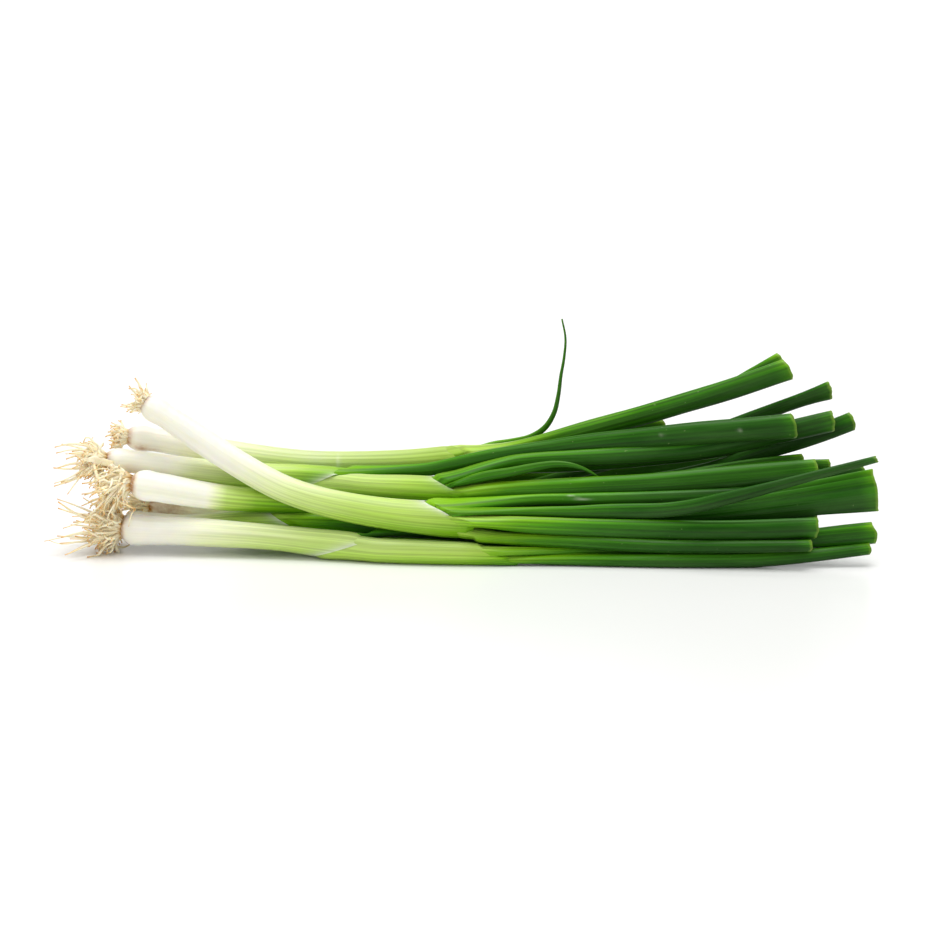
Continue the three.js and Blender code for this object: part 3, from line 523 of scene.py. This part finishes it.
def notesOf(name, rod, places, angles, centres):
    # the attributes that the tissue material reads: straight is the surface unrolled on an even
    # rod, so that veins stay parallel to the leaf however it bends
    look, top = tintLook, np.cos(angles)
    draw = np.random.default_rng(seedOf(name) + 7)
    offset = draw.uniform(0, 400, 3)
    straight = np.stack([rod.radius * np.cos(angles) + offset[0],
                         rod.radius * np.sin(angles) + offset[1], places + offset[2]], axis=-1)
    stops = np.array(greenAlong.get(name, greenAlong[name[:7]]))
    tint = np.interp(centres[..., 0], stops[:, 0], stops[:, 1])
    # painted shade: paler on top and greener underneath, by the angle round the tube
    tint = tint - look["greener"] * tint * (1 - tint) * top
    deep = fromTo(*look["deepFrom"], tint)
    # painted top light on deep green leaves: a paler tint on top
    tint = tint - look["pale"] * deep * fromTo(0.2, 1.0, top)
    even = np.ones(places.shape)
    # each piece's own tone, plus a painted top light on deep green leaves
    shade = draw.uniform(*look["shades"]) + look["lit"] * deep * (top - 0.2)
    notes = {"straight": straight, "tint": tint, "shade": shade,
             "stain": even * 0, "film": even * 0, "rim": even * 0}
    for kind, x, turn, long, wide, strength in marks.get(name, []):
        away = (angles - math.radians(turn) + math.pi) % tau - math.pi
        notes[kind] += strength * np.exp(-((centres[..., 0] - x) / long) ** 2
                                         - (rod.radius * away / wide) ** 2)
    return notes


# Sheaths, in mm. The mouth: middle and sweep give its edge, middle - sweep * cos(angle from the
# top), held within reach; film is how far its dry whitish margin reaches back and filmShow how
# white it is. On the side where the edge reaches furthest the sheath thins away into the leaf it
# carries, on more of its round the smaller merge is. around and step are the faces round it and
# the distance of its rows, and near the stretch by the mouth that has rows of its own. dome
# rounds the root end: (share of the first ring, mm before it). walls are the rings of the inner
# wall: (mm back from the edge, thickness in rims). uneven, ribs and sunk are shares of the half
# width: slow swells about swell mm long, fine ribs, and how far the carried side dives.
# baseStain is the brown of the root end: (full to here, gone from here, how strong).
shaftLook = {
    "around": 80, "step": 1.2, "near": 16.0, "rim": 0.22, "least": 0.2,
    "uneven": 0.02, "swell": 60, "ribs": 0.012, "ribTurns": 6, "sunk": 0.30, "reach": (-9.0, 14.0),
    "baseStain": (-0.5, 2.6, 0.9),
    "dome": [(0.15, 1.1), (0.45, 0.95), (0.75, 0.6)],
    "walls": [(-0.05, 0.3), (0.0, 0.8), (0.3, 1.0), (2.0, 1.6), (5.0, 3.0), (9.0, 5.0)],
    "mouth": {"middle": 4.0, "sweep": 11.0, "film": 1.2, "filmShow": 0.6},
    "onion_1_stem": {"middle": 12.9, "sweep": 21.2, "film": 3.0, "filmShow": 1.0, "merge": -0.55},
    "onion_2_stem": {"middle": 6.0, "sweep": 6.0, "film": 0.8, "filmShow": 0.0, "merge": -1.5},
    "onion_3_stem": {"middle": -3.5, "sweep": -12.0, "film": 3.2, "filmShow": 1.0, "merge": 0.5},
    "onion_3_neck": {"middle": 9.1, "sweep": 14.2, "film": 2.5, "filmShow": 0.45, "merge": -0.25},
    "onion_6_stem": {"middle": 5.5, "sweep": -15.0, "film": 4.0, "filmShow": 0.95, "merge": 0.35},
    "onion_6_neck": {"middle": 6.0, "sweep": 9.0, "film": 0.8, "filmShow": 0.0, "merge": -1.5},
    "onion_7_stem": {"middle": 12.0, "sweep": 10.0, "film": 3.0, "filmShow": 0.9},
}


def mouthEdge(name, angles):
    # how far past the frame's mouth the sheath's edge lies, at each angle from the top
    mouth = shaftLook.get(name, shaftLook["mouth"])
    edge = mouth["middle"] - mouth["sweep"] * np.cos(angles)
    return np.clip(edge, *shaftLook["reach"])


def carried(name, angles):
    # 1 on the side of a sheath that its leaf carries on, 0 on the open side
    mouth = shaftLook.get(name, shaftLook["mouth"])
    start = mouth.get("merge", -0.1)
    return fromTo(start, start + 0.4, -math.copysign(1, mouth["sweep"]) * np.cos(angles))


def innerWall(rod, edge, angles, look, grow, cut=0.0):
    # the rings behind an edge, at its places and angles: each is the rod's own ring times grow,
    # narrowed by its share of the rim, but never below least of it; cut moves the first few mm
    # along the tube. Returns the rings and their places
    rings, spots = [], []
    for back, thick in look["walls"]:
        spots.append(edge - max(back, 0))
        centre, spread, along = rod.at(spots[-1], angles)
        level = np.linalg.norm(spread, axis=2, keepdims=True)
        inset = np.maximum(1 - look["rim"] * thick / level, look["least"])
        moved = cut * fromTo(7, 0, max(back, 0)) - min(back, 0)
        rings.append(centre + spread * inset * grow + along * moved)
    return np.concatenate(rings), np.concatenate(spots)


def shaft(name, parent=None):
    # sheath of nested leaf bases: the frame tube, a rounded root end, a slanted mouth with a thin
    # dry margin, and the inner wall; under the leaves it thins away into them
    rod = Rod(name, 12)
    look = shaftLook
    mouth = look.get(name, look["mouth"])
    ring = np.arange(look["around"]) * tau / look["around"]
    edge = mouthEdge(name, ring)
    # rows: three at the start, even ones, and closer ones over the slant up to the mouth's edge
    near = look["near"]
    plain = np.linspace(1.8, rod.length - near, int((rod.length - near) / look["step"]))
    share = np.concatenate([np.linspace(0, 0.7, 14)[1:], np.linspace(0.7, 1, 16)[1:]])
    first = np.array([-6.0, -3.0, 0.0] if parent is not None else [0.0, 0.5, 1.0])
    places = np.concatenate([first[:, None] + 0 * ring, plain[:, None] + 0 * ring,
                             rod.length - near + share[:, None] * (near + edge)])
    angles = ring + 0 * places
    grow = None
    if parent is not None:
        grow = fullNearMouth(rod, parent, places, (1.0, 1.0))
    centres, spread, along = rod.at(places, angles, grow)
    body = fromTo(1, 10, places)[..., None]
    swell, ribs = unevenness(name, look, places, angles)
    past = places - rod.length - edge
    carry = carried(name, angles) * (0.25 * fromTo(-8, -1, past) + fromTo(-3.5, 0, past))
    sunk = 1 - look["sunk"] * carry[..., None]
    rows = centres + spread * (1 + swell * body + ribs * body) * sunk
    if parent is not None:
        rows = heldIn(rows, parent, 0, 0.0, 30.0)
    foot = centres[:1]
    dome = [] if parent is not None else [
        foot + (rows[:1] - foot) * wide - along[:1] * before for wide, before in look["dome"]]
    inner, innerPlaces = innerWall(rod, places[-1:], angles[-1:], look, sunk[-1:])
    grid = np.concatenate(dome + [rows, inner])
    allPlaces = np.concatenate([places[:1] - 0.5] * len(dome) + [places, innerPlaces])
    allAngles = ring + 0 * allPlaces
    allCentres = np.concatenate([foot] * len(dome) + [centres] + [centres[-1:]] * len(inner))
    notes = notesOf(name, rod, allPlaces, allAngles, allCentres)
    if parent is None:
        full, gone, strength = look["baseStain"]
        notes["stain"] += (1 - fromTo(full, gone, allPlaces)) * strength
    toEdge = rod.length + mouthEdge(name, allAngles) - allPlaces
    margin = np.exp(-np.where(toEdge < 0.2, 0, toEdge) / mouth["film"]) * mouth["filmShow"]
    notes["film"] += (1 - carried(name, allAngles)) * margin
    piece = closedTubes(name.replace("_", ""), grid, notes, onionSkin)
    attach(piece, "root")
    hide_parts(name)
    return rod


# Leaves, in mm: around, step, rim, walls, uneven and ribs as above, ragged is the height of the
# jags of the cut, ridge that of a fold line. As shares: bulge and tilt of the half height, for
# how rounded and how slanted the cut is, and fat of the frame's own width. A fold line runs at
# an angle between ridgeTurns, in degrees from the top, and is ridgeWide wide, in radians; the
# flat leaf has flatRidges, (degrees, height), flatWide wide. endPale is (mm before the cut end,
# how much paler), and rimShow how much of the rim's colour the rings at the cut have, from the
# last outer one inwards. Near the mouth, seat is how high in it the leaf starts and high its half
# height there, both as shares of the mouth's half height; a leaf without a seat starts where its
# free part points back to, no further off the middle than aside sideways and than it fits within
# fits upwards. start is where each leaf begins, and early how much sooner the sheath lets go of
# it. Between inside and where it lies free, at most freeShare of its length out, a leaf is swept
# over: (mm to where it lies free, pull of the mouth's direction).
leafLook = {
    "around": 56, "step": 1.3, "rim": 0.40, "least": 0.3,
    "uneven": 0.03, "swell": 70, "ribs": 0.012, "ribTurns": 5,
    "walls": [(-0.05, 0.3), (0.0, 0.8), (0.25, 1.0), (2.0, 1.2), (8.0, 1.4), (24.0, 1.8)],
    "ragged": 0.22, "bulge": 0.30, "flatBulge": 0.09, "tilt": 0.18, "ridge": 0.16,
    "fat": {"each": 1.09, "onion_3_leaf_1": 1.16, "onion_3_leaf_2": 1.16, "onion_3_leaf_4": 1.12,
            "onion_2_leaf_5": 1.14, "onion_2_leaf_6": 1.6, "onion_5_leaf_3": 1.3,
            "onion_7_leaf_2": 1.25, "onion_7_leaf_3": 1.25},
    "seat": {"onion_1_leaf_1": 0.60, "onion_1_leaf_2": 0.48, "onion_1_leaf_3": 0.10,
             "onion_1_leaf_4": -0.50, "onion_3_leaf_2": 0.60, "onion_3_leaf_3": 0.15,
             "onion_3_leaf_4": -0.35, "onion_2_leaf_2": 0.3, "onion_2_leaf_3": 0.6,
             "onion_2_leaf_5": -0.5, "onion_2_leaf_4": -0.1},
    "high": {"each": 0.40, "onion_2_leaf_2": 0.7, "onion_3_leaf_1": 0.7, "onion_6_leaf_1": 0.7,
             "onion_1_leaf_3": 0.5, "onion_1_leaf_4": 0.5},
    "inside": 3.0, "freeShare": 0.4, "fits": 0.97, "aside": 0.25,
    "swept": {"each": (42.0, 0.5), "onion_1_leaf_1": (52.0, 0.3), "onion_1_leaf_2": (52.0, 0.3),
              "onion_1_leaf_3": (52.0, 0.3), "onion_1_leaf_4": (28.0, 0.5)},
    "start": -16.0, "early": {"onion_2_leaf_6": 15},
    "flat": "onion_4_leaf_3", "loose": ["onion_2_leaf_1", "onion_2_leaf_6"],
    "flatRidges": [(52, 0.5), (74, 0.42), (96, 0.5), (122, 0.4)], "flatWide": 0.075,
    "ridgeTurns": (35, 130), "ridgeWide": 0.16, "endPale": (9, 0.12), "rimShow": (0.5, 0.9, 1.0, 0.7),
}


def mouthOf(parent):
    # centre, up and sideways half axes and the outward direction of a sheath's mouth
    centre, up, side = through(parent.knots, parent.terms, np.array([parent.length]))[0, :3]
    return centre, up, side, unit(np.cross(up, side))


def sweptOut(rod, parent, places):
    # how far the centre line is moved near the sheath: from inside it to where it lies free the
    # leaf is one cubic sweep that starts at the spot its free part points back to, but no nearer
    # to the wall than its own height allows
    look = leafLook
    inside, fits, aside = look["inside"], look["fits"], look["aside"]
    free, pull = look["swept"].get(rod.name, look["swept"]["each"])
    free = min(free, rod.length * look["freeShare"])
    _, up, side, ahead = mouthOf(parent)
    spots = rod.centresAt(np.array([free - 5, free, free + 5]))
    slope = (spots[2] - spots[0]) / 10
    axis = parent.centresAt(parent.length + np.minimum(np.append(places.ravel(), inside), inside) - 9)
    back = spots[1] - slope * (free - inside) - axis[-1]
    own = rod.widthsAt(np.array([free]))[0, 0] / np.linalg.norm(up)
    u = look["seat"].get(rod.name, np.clip(back @ up / (up @ up), own - fits, fits - own))
    v = np.clip(back @ side / (side @ side), -aside, aside)
    inset = up * u + side * v
    m = free - inside    # the length of the sweep
    t = np.clip((places - inside) / m, 0, 1)[..., None]
    swept = hermite(t, axis[-1] + inset, m * pull * ahead, spots[1], m * slope)
    swept = np.where(places[..., None] < inside, axis[:-1].reshape(swept.shape) + inset, swept)
    return np.where(places[..., None] < free, swept - rod.centresAt(places), 0.0)


def fullNearMouth(rod, parent, places, fat):
    # near the sheath a leaf is at least as high as where it lies free, and sideways it widens to
    # the mouth; a neck fills the mouth
    look = leafLook
    own = rod.widthsAt(places.ravel()).reshape(places.shape + (2,))
    _, up, side, _ = mouthOf(parent)
    wide = np.array([np.linalg.norm(up), np.linalg.norm(side)])
    near = 1 - np.stack([fromTo(6, 36, places), fromTo(2, 48, places)], axis=-1)
    if rod.name.endswith("neck"):
        full = wide
    else:
        free = rod.widthsAt(np.array([min(40.0, rod.length * look["freeShare"])]))[0]
        high = look["high"].get(rod.name, look["high"]["each"]) * wide[0]
        full = np.array([max(free[0], high), max(wide[1], free[1])])
    return (own * (1 - near) + full * near) / own * np.array(fat)


# The hold of a sheath on what it carries, as shares of its half width: inner wall, what each
# leaf's order takes off it, and how much wider the carried side is, where it comes flush with
# the outside. reach is how many mm past the mouth it is felt.
holdLook = {"wall": 0.955, "apart": 0.008, "flush": 0.05, "reach": 34}


def heldIn(rows, parent, order, early=0.0, slow=12.0):
    # what is inside the sheath stays within limit, a share of the sheath's half width at its own
    # angle: limit = wall - apart * order + flush on the carried side, and it opens beyond the
    # edge, early mm sooner where told, until the hold is gone slow mm past it
    look = holdLook
    centre, up, side, ahead = mouthOf(parent)
    deep = (rows - centre) @ ahead
    axis = parent.centresAt(parent.length + np.clip(deep, -20, 40))
    away = rows - axis
    u, v = away @ up / (up @ up), away @ side / (side @ side)
    rho = np.maximum(np.hypot(u, v), 1e-6)
    here = parent.widthsAt((parent.length + np.clip(deep, -20, 0)).ravel())[:, 0].reshape(deep.shape)
    rho = rho / (here / np.linalg.norm(up))
    angles = np.arctan2(v, u)
    past = deep - mouthEdge(parent.name, angles) + early
    flush = look["flush"] * carried(parent.name, angles) * fromTo(-8, -3, past)
    limit = (look["wall"] - look["apart"] * order + flush
             + 0.4 * fromTo(0, slow / 3, past) + 4 * fromTo(2, slow, past))
    shrink = np.where((rho > limit) & (deep < look["reach"]), limit / rho, 1.0)
    return axis + away * shrink[..., None]


def leaf(name, rod, parent, order):
    # a leaf: the frame tube, as wide as the mouth where it leaves the sheath, with a hollow cut
    # end and a thin rim, or a point
    look = leafLook
    draw = np.random.default_rng(seedOf(name))
    around = look["around"] * (2 if name == look["flat"] else 1)
    ring = np.arange(around) * tau / around
    rows = np.linspace(look["start"], rod.length, int(rod.length / look["step"]))
    places = rows[:, None] + 0 * ring
    angles = ring + 0 * places
    fat = look["fat"].get(name, look["fat"]["each"])
    grow = np.ones(places.shape + (2,))
    if rod.hollow:
        grow = fullNearMouth(rod, parent, places, (fat, fat * 1.06))
    elif rod.length > 60:
        grow = grow * 0.9
    centres, spread, along = rod.at(places, angles, grow)
    if name not in look["loose"]:
        centres = centres + sweptOut(rod, parent, places)
    swell, ribs = unevenness(name, look, places, angles)
    shape = 1 + swell + ribs
    lift = np.zeros(places.shape)
    if name == look["flat"]:
        for spot, height in look["flatRidges"]:
            turn = math.radians(spot)
            lift += height * np.exp(-((angles - turn) / look["flatWide"]) ** 2) * fromTo(60, 120, places)
    elif rod.hollow:
        for spot in draw.uniform(*look["ridgeTurns"], 2):
            turn = math.radians(spot) + 0.15 * np.sin(places / 40 + draw.uniform(0, tau))
            height = look["ridge"] * draw.uniform(-1, 1)
            lift += height * np.exp(-((angles - turn) / look["ridgeWide"]) ** 2) * fromTo(20, 60, places)
    rows = centres + spread * shape + unit(spread) * lift[..., None]
    if rod.hollow:
        up = rod.widthsAt(np.array([rod.length]))[0, 0]
        bulge = look["flatBulge" if name == look["flat"] else "bulge"]
        cut = (look["ragged"] * waves(seedOf(name) + 3, 6, 30)(0 * angles, angles * 2)
               - bulge * up * np.cos(angles) ** 2
               + draw.uniform(-1, 1) * look["tilt"] * up * np.cos(angles))
        rows = rows + along * (cut * fromTo(rod.length - 7, rod.length, places))[..., None]
    rows = heldIn(rows, parent, order, look["early"].get(name, 0.0))
    grid, allPlaces = rows, places
    if rod.hollow:
        inner, innerPlaces = innerWall(rod, places[-1:], angles[-1:], look, fat * shape[-1:],
                                       cut[-1:, :, None])
        grid, allPlaces = np.concatenate([rows, inner]), np.concatenate([places, innerPlaces])
    notes = notesOf(name, rod, allPlaces, ring + 0 * allPlaces, rod.centresAt(allPlaces))
    if rod.hollow:
        before, paler = look["endPale"]
        notes["tint"] -= paler * fromTo(rod.length - before, rod.length, allPlaces)
        first, show = len(places) - 1, np.array(look["rimShow"])
        notes["rim"][first:first + len(show)] = show[:, None]
    piece = closedTubes(name.replace("_", ""), grid, notes, onionSkin)
    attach(piece, "root")
    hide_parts(name)


stems = {}
for name in sorted(nodes):
    if name.endswith("stem"):
        stems[name] = shaft(name)
for name in sorted(nodes):
    if name.endswith("neck"):
        stems[name] = shaft(name, stems[name.replace("neck", "stem")])
print("stems made")

for order, name in enumerate(sorted(n for n in nodes if "leaf" in n)):
    rod = Rod(name, 8)
    own = [s for s in stems.values() if s.name[:7] == name[:7]]
    parent = min(own, key=lambda s: np.linalg.norm(s.terms[-1, 0] - rod.terms[2, 0]))
    leaf(name, rod, parent, 5 - int(name[-1]))
print("leaves made")

# Roots, in mm: each tuft springs from its basal plate. Besides the frame's own roots there are
# count more: reach is how long they are (least, most), splay how they spread, fall how they hang
# and curl how they turn. thick and thin are the half widths between which each is drawn, taper
# how much of it the tip loses, knobs how uneven it is, sides and steps the faces round and along,
# and own are single strands, as (half width, points). A free root starts sunk deep in the plate,
# up to plate spokes off its middle, and leans out by lean spokes; a spoke is that share of the
# stem's half width. The frame's own roots start framed deep, as (depth, least and most off the
# middle), and waver by waver.
rootLook = {
    "sides": 5, "steps": 12, "thick": 0.82, "thin": 0.48, "taper": 0.60, "knobs": 0.10,
    "sunk": 0.8, "spoke": 0.16, "plate": 3.2, "lean": 1.6, "framed": (0.6, 0.5, 2.5), "waver": 0.25,
    "onion_1_roots": {"count": 110, "reach": (4, 8), "splay": 1.0, "fall": 0.1, "curl": 0.55},
    "onion_2_roots": {"count": 90, "reach": (6, 11), "splay": 0.45, "fall": 0.35, "curl": 0.35},
    "onion_3_roots": {"count": 130, "reach": (8, 18), "splay": 0.6, "fall": 0.5, "curl": 0.50, "own": [
        (0.75, [(-155.5, 5, 40), (-159.6, -1, 41), (-157.4, -6, 34), (-153.1, -8, 28.7),
                (-148.7, -8.4, 25.1), (-141.3, -9, 21.5)]),
        (0.5, [(-157.0, -6, 33), (-158.5, -8, 30), (-155, -9, 26.5), (-152, -9, 23)]),
        (0.3, [(-141.6, -8.9, 21.4), (-142.8, -9.0, 19.8), (-143.9, -8.9, 17), (-144.6, -8.6, 13.6)])]},
    "onion_4_roots": {"count": 190, "reach": (9, 24), "splay": 0.5, "fall": 2.0, "curl": 0.50},
    "onion_5_roots": {"count": 80, "reach": (7, 15), "splay": 0.6, "fall": 0.5, "curl": 0.5},
    "onion_6_roots": {"count": 170, "reach": (8, 22), "splay": 0.8, "fall": 0.15, "curl": 0.60, "own": [
        (0.4, [(-149.5, -1, 11), (-158, -3, 10), (-166, -4.5, 9.5), (-174, -5, 8), (-182, -5, 6.3)]),
        (0.35, [(-149.5, -1, 11), (-160, -4, 8), (-168, -6, 6), (-175, -7, 5.5), (-180, -6, 7)])]},
    "onion_7_roots": {"count": 100, "reach": (8, 20), "splay": 0.7, "fall": 0.2, "curl": 0.55},
}


def rootGuides(name):
    # the frame's roots as centre lines, plate first: a tip is a corner where three faces meet,
    # and the middles of the rings of three behind it lead back to the plate
    unique, beside = joinedPoints(name)
    lines = []
    for tip in np.flatnonzero(beside.sum(axis=1) == 3):
        line = [ring.mean(axis=0) for ring in ringsFrom(unique, beside, tip, 3)]
        if len(line) >= 2 and np.linalg.norm(line[0] - line[-1]) > 2.5:
            lines.append(np.array(line[::-1]))
    return lines


def strands(name, paths, widths, shades):
    # a tuft of tapered cords: a small even-sided ring is carried along each row of points
    sides, count, steps = rootLook["sides"], len(paths), paths.shape[1]
    along = unit(np.gradient(paths, axis=1))
    pick = np.where(np.abs(along[:, :1, 2:3]) < 0.8, [[[0.0, 0.0, 1.0]]], [[[0.0, 1.0, 0.0]]])
    side = unit(np.cross(along, pick + 0 * along))
    up = np.cross(side, along)
    angles = np.arange(sides) * tau / sides
    ring = up[:, :, None] * np.cos(angles)[:, None] + side[:, :, None] * np.sin(angles)[:, None]
    grid = paths[:, :, None] + ring * widths[:, :, None, None]
    poles = (paths[:, 0] - along[:, 0] * widths[:, :1] * 0.3,
             paths[:, -1] + along[:, -1] * widths[:, -1:] * 0.6)
    run = np.concatenate([np.zeros((count, 1)), np.cumsum(
        np.linalg.norm(np.diff(paths, axis=1), axis=2), axis=1)], axis=1)[:, :, None]
    full = np.ones((count, steps, sides))
    offset = np.arange(count)[:, None, None] * 7.3
    notes = {"tint": run / run[:, -1:] * full, "shade": shades[:, None, None] * full,
             "straight": np.stack([0.5 * np.cos(angles) * full + offset,
                                   0.5 * np.sin(angles) * full + offset, run * full + offset], axis=-1)}
    return closedTubes(name, grid, notes, rootSkin, poles)


def roots(name):
    # the frame's roots and many more between them; a free root's direction turns from straight
    # out, spread to one side, towards the ground, with a seeded curl, and its points are the
    # running sum of that direction
    look = rootLook
    tuft = look[name]
    draw = np.random.default_rng(seedOf(name))
    stem = stems[name.replace("roots", "stem")]
    base, up, side = stem.terms[0, 0], stem.terms[1, 1], stem.terms[1, 2]
    out = unit(base - stem.terms[2, 0])
    t = np.linspace(0, 1, look["steps"])[:, None]
    guides = rootGuides(name)
    depth, least, most = look["framed"]
    paths = []
    for line in guides:
        toTip = line[-1] - base
        toTip = toTip - out * (toTip @ out)
        foot = base - out * depth + toTip / max(np.linalg.norm(toTip), 1) * draw.uniform(least, most)
        line = np.concatenate([[foot], line])
        run = runOf(line)
        wave = sum(draw.normal(size=3) * look["waver"] / k * np.sin(k * 4 * t + draw.uniform(0, tau))
                   for k in (1, 2, 3))
        paths.append(through(run / run[-1], line, t[:, 0]) + wave * t)
    for _, line in tuft.get("own", []):
        line = np.array(line, dtype=float)
        run = runOf(line)
        paths.append(through(run / run[-1], line, t[:, 0]))
    for _ in range(tuft["count"]):
        turn = draw.uniform(0, tau)
        spoke = (up * math.cos(turn) + side * math.sin(turn)) * look["spoke"]
        far = draw.uniform(0.1, 1) ** 0.5
        foot = base - out * look["sunk"] + spoke * far * look["plate"]
        reach = draw.uniform(*tuft["reach"]) * draw.uniform(0.7, 1.1)
        bend = sum(draw.normal(size=3) * tuft["curl"] / k ** 0.5
                   * np.sin(k * 2.6 * t + draw.uniform(0, tau)) for k in (1, 2, 3, 4))
        way = (out * (1 - 0.45 * t) + spoke * tuft["splay"] * far * look["lean"] * (1 - 0.5 * t)
               + np.array([0, 0, -1]) * tuft["fall"] * t * draw.uniform(0.4, 1.3)
               + bend * fromTo(0.05, 0.6, t))
        paths.append(foot + np.cumsum(unit(way), axis=0) * reach / look["steps"])
    paths = np.array(paths)
    count = len(paths)
    thick = draw.uniform(look["thin"], look["thick"], (count, 1))
    for i, (half, _) in enumerate(tuft.get("own", [])):
        thick[len(guides) + i] = half
    knobs = np.sin(t[:, 0] * draw.uniform(15, 40, (count, 1)) + draw.uniform(0, tau, (count, 1)))
    widths = thick * (1 - look["taper"] * fromTo(0.4, 1.0, t[:, 0])) * (1 + look["knobs"] * knobs)
    paths[..., 2] = np.maximum(paths[..., 2], widths * 0.9)
    piece = strands(name.replace("_", ""), paths, widths, draw.uniform(0.2, 0.9, count))
    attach(piece, "root")
    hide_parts(name)


for name in sorted(nodes):
    if name.endswith("roots"):
        roots(name)
print("roots made")


def skinStrip(name, node, look):
    # a thin flat strip of skin along a smooth line through the points, widest where halfWide says:
    # each section is an ellipse, its long axis held near the plane that faces the front
    line = np.array(look["points"], dtype=float)
    run = runOf(line)
    t = np.linspace(0, 1, look["steps"])
    path = through(run / run[-1], line, t)
    along = unit(np.gradient(path, axis=0))
    flat = unit(np.cross(along, np.array(look["faces"])))
    out = np.cross(along, flat)
    ring = np.arange(look["around"]) * tau / look["around"]
    wide = np.interp(t, *np.array(look["halfWide"]).T)
    wavy = 1 + look["uneven"] * waves(seedOf(name), 5, 6)(t[:, None] * run[-1], ring)[..., None]
    even = np.ones((len(t), len(ring)))
    across, deep = wide[:, None] * np.cos(ring), even * look["halfThick"] * np.sin(ring)
    rows = path[:, None] + wavy * (flat[:, None] * across[..., None] + out[:, None] * deep[..., None])
    notes = {"straight": np.stack([across, even * 0, run[-1] * t[:, None] * even], axis=-1),
             "tint": even * np.interp(t, (0, 1), look["tints"])[:, None], "shade": even * look["shade"]}
    piece = closedTubes(name, rows, notes, rootSkin)
    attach(piece, "root")
    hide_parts(node)


# The dried flap, in mm: the line it lies along and its half width, as (share of the line, mm).
skinLook = {
    "points": [(-164.5, -3.5, 42.0), (-160.5, -3, 42.2), (-156, 0.0, 40.4), (-152, 1.5, 39.6)],
    "halfWide": [(0, 0.15), (0.2, 1.1), (0.45, 1.7), (0.8, 1.5), (1.0, 1.0)], "halfThick": 0.22,
    "uneven": 0.08, "around": 12, "steps": 26, "faces": (0.1, -1.0, 0.2), "tints": (0.8, 0.3),
    "shade": 0.9,
}
skinStrip("driedSkinFlap", "onion_3_roots", skinLook)
print("skin flap made")


def floorAndLight():
    # a wide pale tabletop; a soft light overhead, a little behind, and a softer one from the front,
    # each as (strength, spread, tilt, turn) in degrees; a pale surround that is brightest low behind
    settings = {"floorColour": "#F4F4F2", "world": 0.32, "horizon": 1.2,
                "lights": {"softOverhead": (2.4, 40, -4, 4), "softFront": (1.1, 90, 50, -12)}}
    mesh = bpy.data.meshes.new("tabletop")
    mesh.from_pydata([(-12, -12, 0), (12, -12, 0), (12, 12, 0), (-12, 12, 0)], [], [(0, 1, 2, 3)])
    floor = bpy.data.objects.new("tabletop", mesh)
    bpy.context.scene.collection.objects.link(floor)
    material, tree = emptyMaterial("whiteLaminateSatin")
    place = addNode(tree, "ShaderNodeTexCoord", out="Object")
    grain = addNode(tree, "ShaderNodeTexNoise", None, {"Vector": place, "Scale": 40.0}, out="Fac")
    bump = addNode(tree, "ShaderNodeBump", None, {"Height": grain, "Strength": 0.05, "Distance": 0.0002})
    shader = addNode(tree, "ShaderNodeBsdfPrincipled", None, {
        "Base Color": settings["floorColour"], "Roughness": 0.28, "IOR": 1.45, "Normal": bump})
    addNode(tree, "ShaderNodeOutputMaterial", None, {"Surface": shader}, out=None)
    mesh.materials.append(material)
    world = bpy.data.worlds.new("paleSurround")
    bpy.context.scene.world = world
    world.use_nodes = True
    tree = world.node_tree
    ray = addNode(tree, "ShaderNodeTexCoord", out="Generated")
    lean = addNode(tree, "ShaderNodeVectorMath", {"operation": "DOT_PRODUCT"},
                   {0: ray, 1: (0, -0.5, 1)}, out="Value")
    band = addNode(tree, "ShaderNodeMapRange", None, {0: lean, 1: -0.35, 2: 0.05, 3: settings["horizon"],
                                                      4: settings["world"]})
    tree.links.new(band, tree.nodes["Background"].inputs[1])
    tree.nodes["Background"].inputs[0].default_value = (1, 1, 1, 1)
    for name, (strength, spread, tilt, turn) in settings["lights"].items():
        light = bpy.data.lights.new(name, "SUN")
        light.energy = strength
        light.angle = math.radians(spread)
        holder = bpy.data.objects.new(name, light)
        holder.rotation_euler = (math.radians(tilt), math.radians(turn), 0)
        holder.visible_glossy = name == "softOverhead"    # the front light leaves no sheen
        bpy.context.scene.collection.objects.link(holder)


def addCamera():
    # a long lens looking along +Y from a low angle
    settings = {"target": (0.004572, -0.000754, 0.036), "far": 1.1, "elevation": 12, "lens": 96.33}
    camera = bpy.data.cameras.new("camera")
    camera.lens = settings["lens"]
    camera.sensor_width = 36
    holder = bpy.data.objects.new("camera", camera)
    angle = math.radians(settings["elevation"])
    x, y, z = settings["target"]
    holder.location = (x, y - settings["far"] * math.cos(angle), z + settings["far"] * math.sin(angle))
    holder.rotation_euler = (math.pi / 2 - angle, 0, 0)
    bpy.context.scene.collection.objects.link(holder)
    bpy.context.scene.camera = holder
    bpy.context.scene.view_settings.view_transform = "Standard"


floorAndLight()
addCamera()
print("floor, light and camera made")
